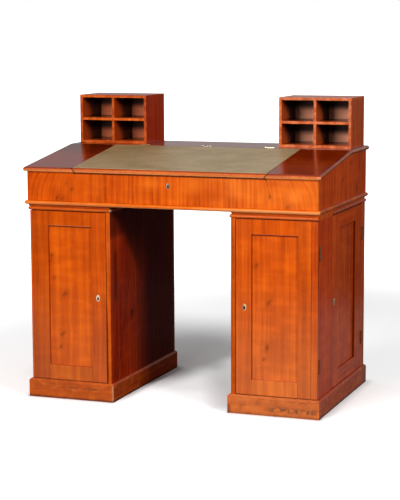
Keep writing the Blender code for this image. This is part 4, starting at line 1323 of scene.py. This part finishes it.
def seen_by(tree):
    """Which rays see a surface: those that show it straight or through glass, and those in the polish."""
    seen = tree.nodes.new("ShaderNodeLightPath").outputs
    shown = most(Strand(seen["Is Camera Ray"]), Strand(seen["Is Transmission Ray"]))
    return shown, Strand(seen["Is Glossy Ray"])


def floor_light(x, y, out):
    """How far the pale floor is lifted towards white: less in the desk's painted shadows, behind, beside and
    close to its feet, and more in a painted patch of light by the left pedestal.
    """
    away = distance(x / 0.55, (y - 0.5) / 0.75)
    aside = x + KNEE_HALF - (y - DOOR_FACE) * KEY_SLANT
    through = within(aside, -0.10, 0.10, 0.50, 0.66)
    # Painted shadows on the floor: behind and between the pedestals, beside and before their feet, down the
    # aisle.
    core = within(y, -0.10, 0.25, 0.95, 1.95) * within(x, -1.0, -0.72, 0.30, 0.52)
    beside = within(out, 0.40, 0.60, 0.68, 0.73) * within(y, PLINTH_FACE, DOOR_FACE + 0.05, BACK, BACK + 0.06)
    before = within(y, DOOR_FACE - 0.045, PLINTH_FACE, DOOR_FACE, DOOR_FACE + 0.03)
    before = before * within(out, 0.255, 0.275, 0.68, 0.70)
    slant = y * 0.45 + x
    aisle = spread(slant, -0.02, 0.14) * within(x, -0.21, -0.04, 0.27, 0.30)
    aisle = aisle * within(y, -0.36, -0.27, 0.44, 0.68)
    # Painted patch of light on the floor by the left pedestal's front.
    gleam = spread(slant, 0.06, -0.03) * spread(x, -0.28, -0.20) * within(y, -0.36, -0.24, -0.12, 0.02)
    # Painted contact shade by the left pedestal's inner foot.
    foot = within(x, -0.30, -0.27, -0.264, -0.222) * within(y, -0.40, -0.15, 0.38, 0.44)
    lift = core * (1.0 - through) * -FLOOR_CORE + FLOOR_LIFT
    for part, change in ((beside, -FLOOR_BESIDE), (before, -FLOOR_BEFORE), (aisle, -FLOOR_AISLE),
                         (gleam, FLOOR_GLEAM), (foot, -FLOOR_FOOT)):
        lift = part * change + lift
    return most(lift, 0.0) + spread(away, 2.4, 6.0, 0.0, FLOOR_FAR_LIFT)


floor_finish, (x, y, z) = new_finish("pale_floor")
floor_tree = floor_finish.node_tree
pale = floor_tree.nodes["Principled BSDF"]
finished(floor_finish, FLOOR_COLOUR, FLOOR_ROUGH, shine=0.0)
feed(pale.inputs["Emission Color"], WHITE)
out = abs(x)
feed(pale.inputs["Emission Strength"], floor_light(x, y, out))
shown, in_gloss = seen_by(floor_tree)
between = spread(y, -0.42, -0.30) * spread(out, 0.70, 0.62)
in_polish = spread(distance(x, y), 3.1, 2.3, 0.0, FLOOR_IN_POLISH) * (1.0 - between)
cloth = floor_tree.nodes.new("ShaderNodeBsdfDiffuse")
feed(cloth.inputs["Color"], in_gloss * in_polish + FLOOR_BOUNCE)
choice = laid("MixShader", shown, Strand(cloth.outputs[0]), Strand(pale.outputs[0]))
feed(floor_tree.nodes["Material Output"].inputs["Surface"], Strand(choice.outputs[0]))
shape = bmesh.new()
bmesh.ops.create_grid(shape, x_segments=1, y_segments=1, size=FLOOR_REACH)
bmesh.ops.translate(shape, vec=(0, 0, -FLOOR_DROP), verts=shape.verts)
mesh = bpy.data.meshes.new("studio_floor")
shape.to_mesh(mesh)
shape.free()
mesh.materials.append(floor_finish)
studio_floor = bpy.data.objects.new("studio_floor", mesh)
bpy.context.scene.collection.objects.link(studio_floor)

world = bpy.data.worlds.new("white_surround")
world.use_nodes = True
bpy.context.scene.world = world
backdrop = world.node_tree.nodes["Background"].inputs
feed(backdrop["Color"], WHITE)
heading = Strand(world.node_tree.nodes.new("ShaderNodeTexCoord").outputs["Generated"])
behind = Strand(laid("SeparateXYZ", heading).outputs[1])
around = spread(behind, -0.4, 0.6, FRONT_SURROUND, REAR_SURROUND)
in_polish = spread(behind, -0.4, 0.6, FRONT_POLISH, REAR_POLISH)
shown, in_gloss = seen_by(world.node_tree)
feed(backdrop["Strength"], most(shown, around + in_gloss * (in_polish - around)))

for name, where, towards, width, watts in LAMPS:
    lamp = bpy.data.lights.new(name, "AREA")
    lamp.shape = "SQUARE"
    lamp.size = width
    lamp.energy = watts
    stand = bpy.data.objects.new(name, lamp)
    aim = Vector(towards) - Vector(where)
    stand.matrix_world = Matrix.Translation(where) @ aim.to_track_quat("-Z", "Y").to_matrix().to_4x4()
    bpy.context.scene.collection.objects.link(stand)

lens = bpy.data.cameras.new("photo_camera")
lens.lens = CAMERA_LENS
lens.sensor_width = CAMERA_FILM
camera = bpy.data.objects.new("photo_camera", lens)
turn = Matrix.Rotation(CAMERA_TURN, 4, "Z") @ Matrix.Rotation(math.radians(90) - CAMERA_DROP, 4, "X")
camera.matrix_world = Matrix.Translation(CAMERA_SPOT) @ turn @ Matrix.Rotation(CAMERA_ROLL, 4, "Z")
bpy.context.scene.collection.objects.link(camera)
bpy.context.scene.camera = camera
bpy.context.scene.view_settings.view_transform = "Standard"
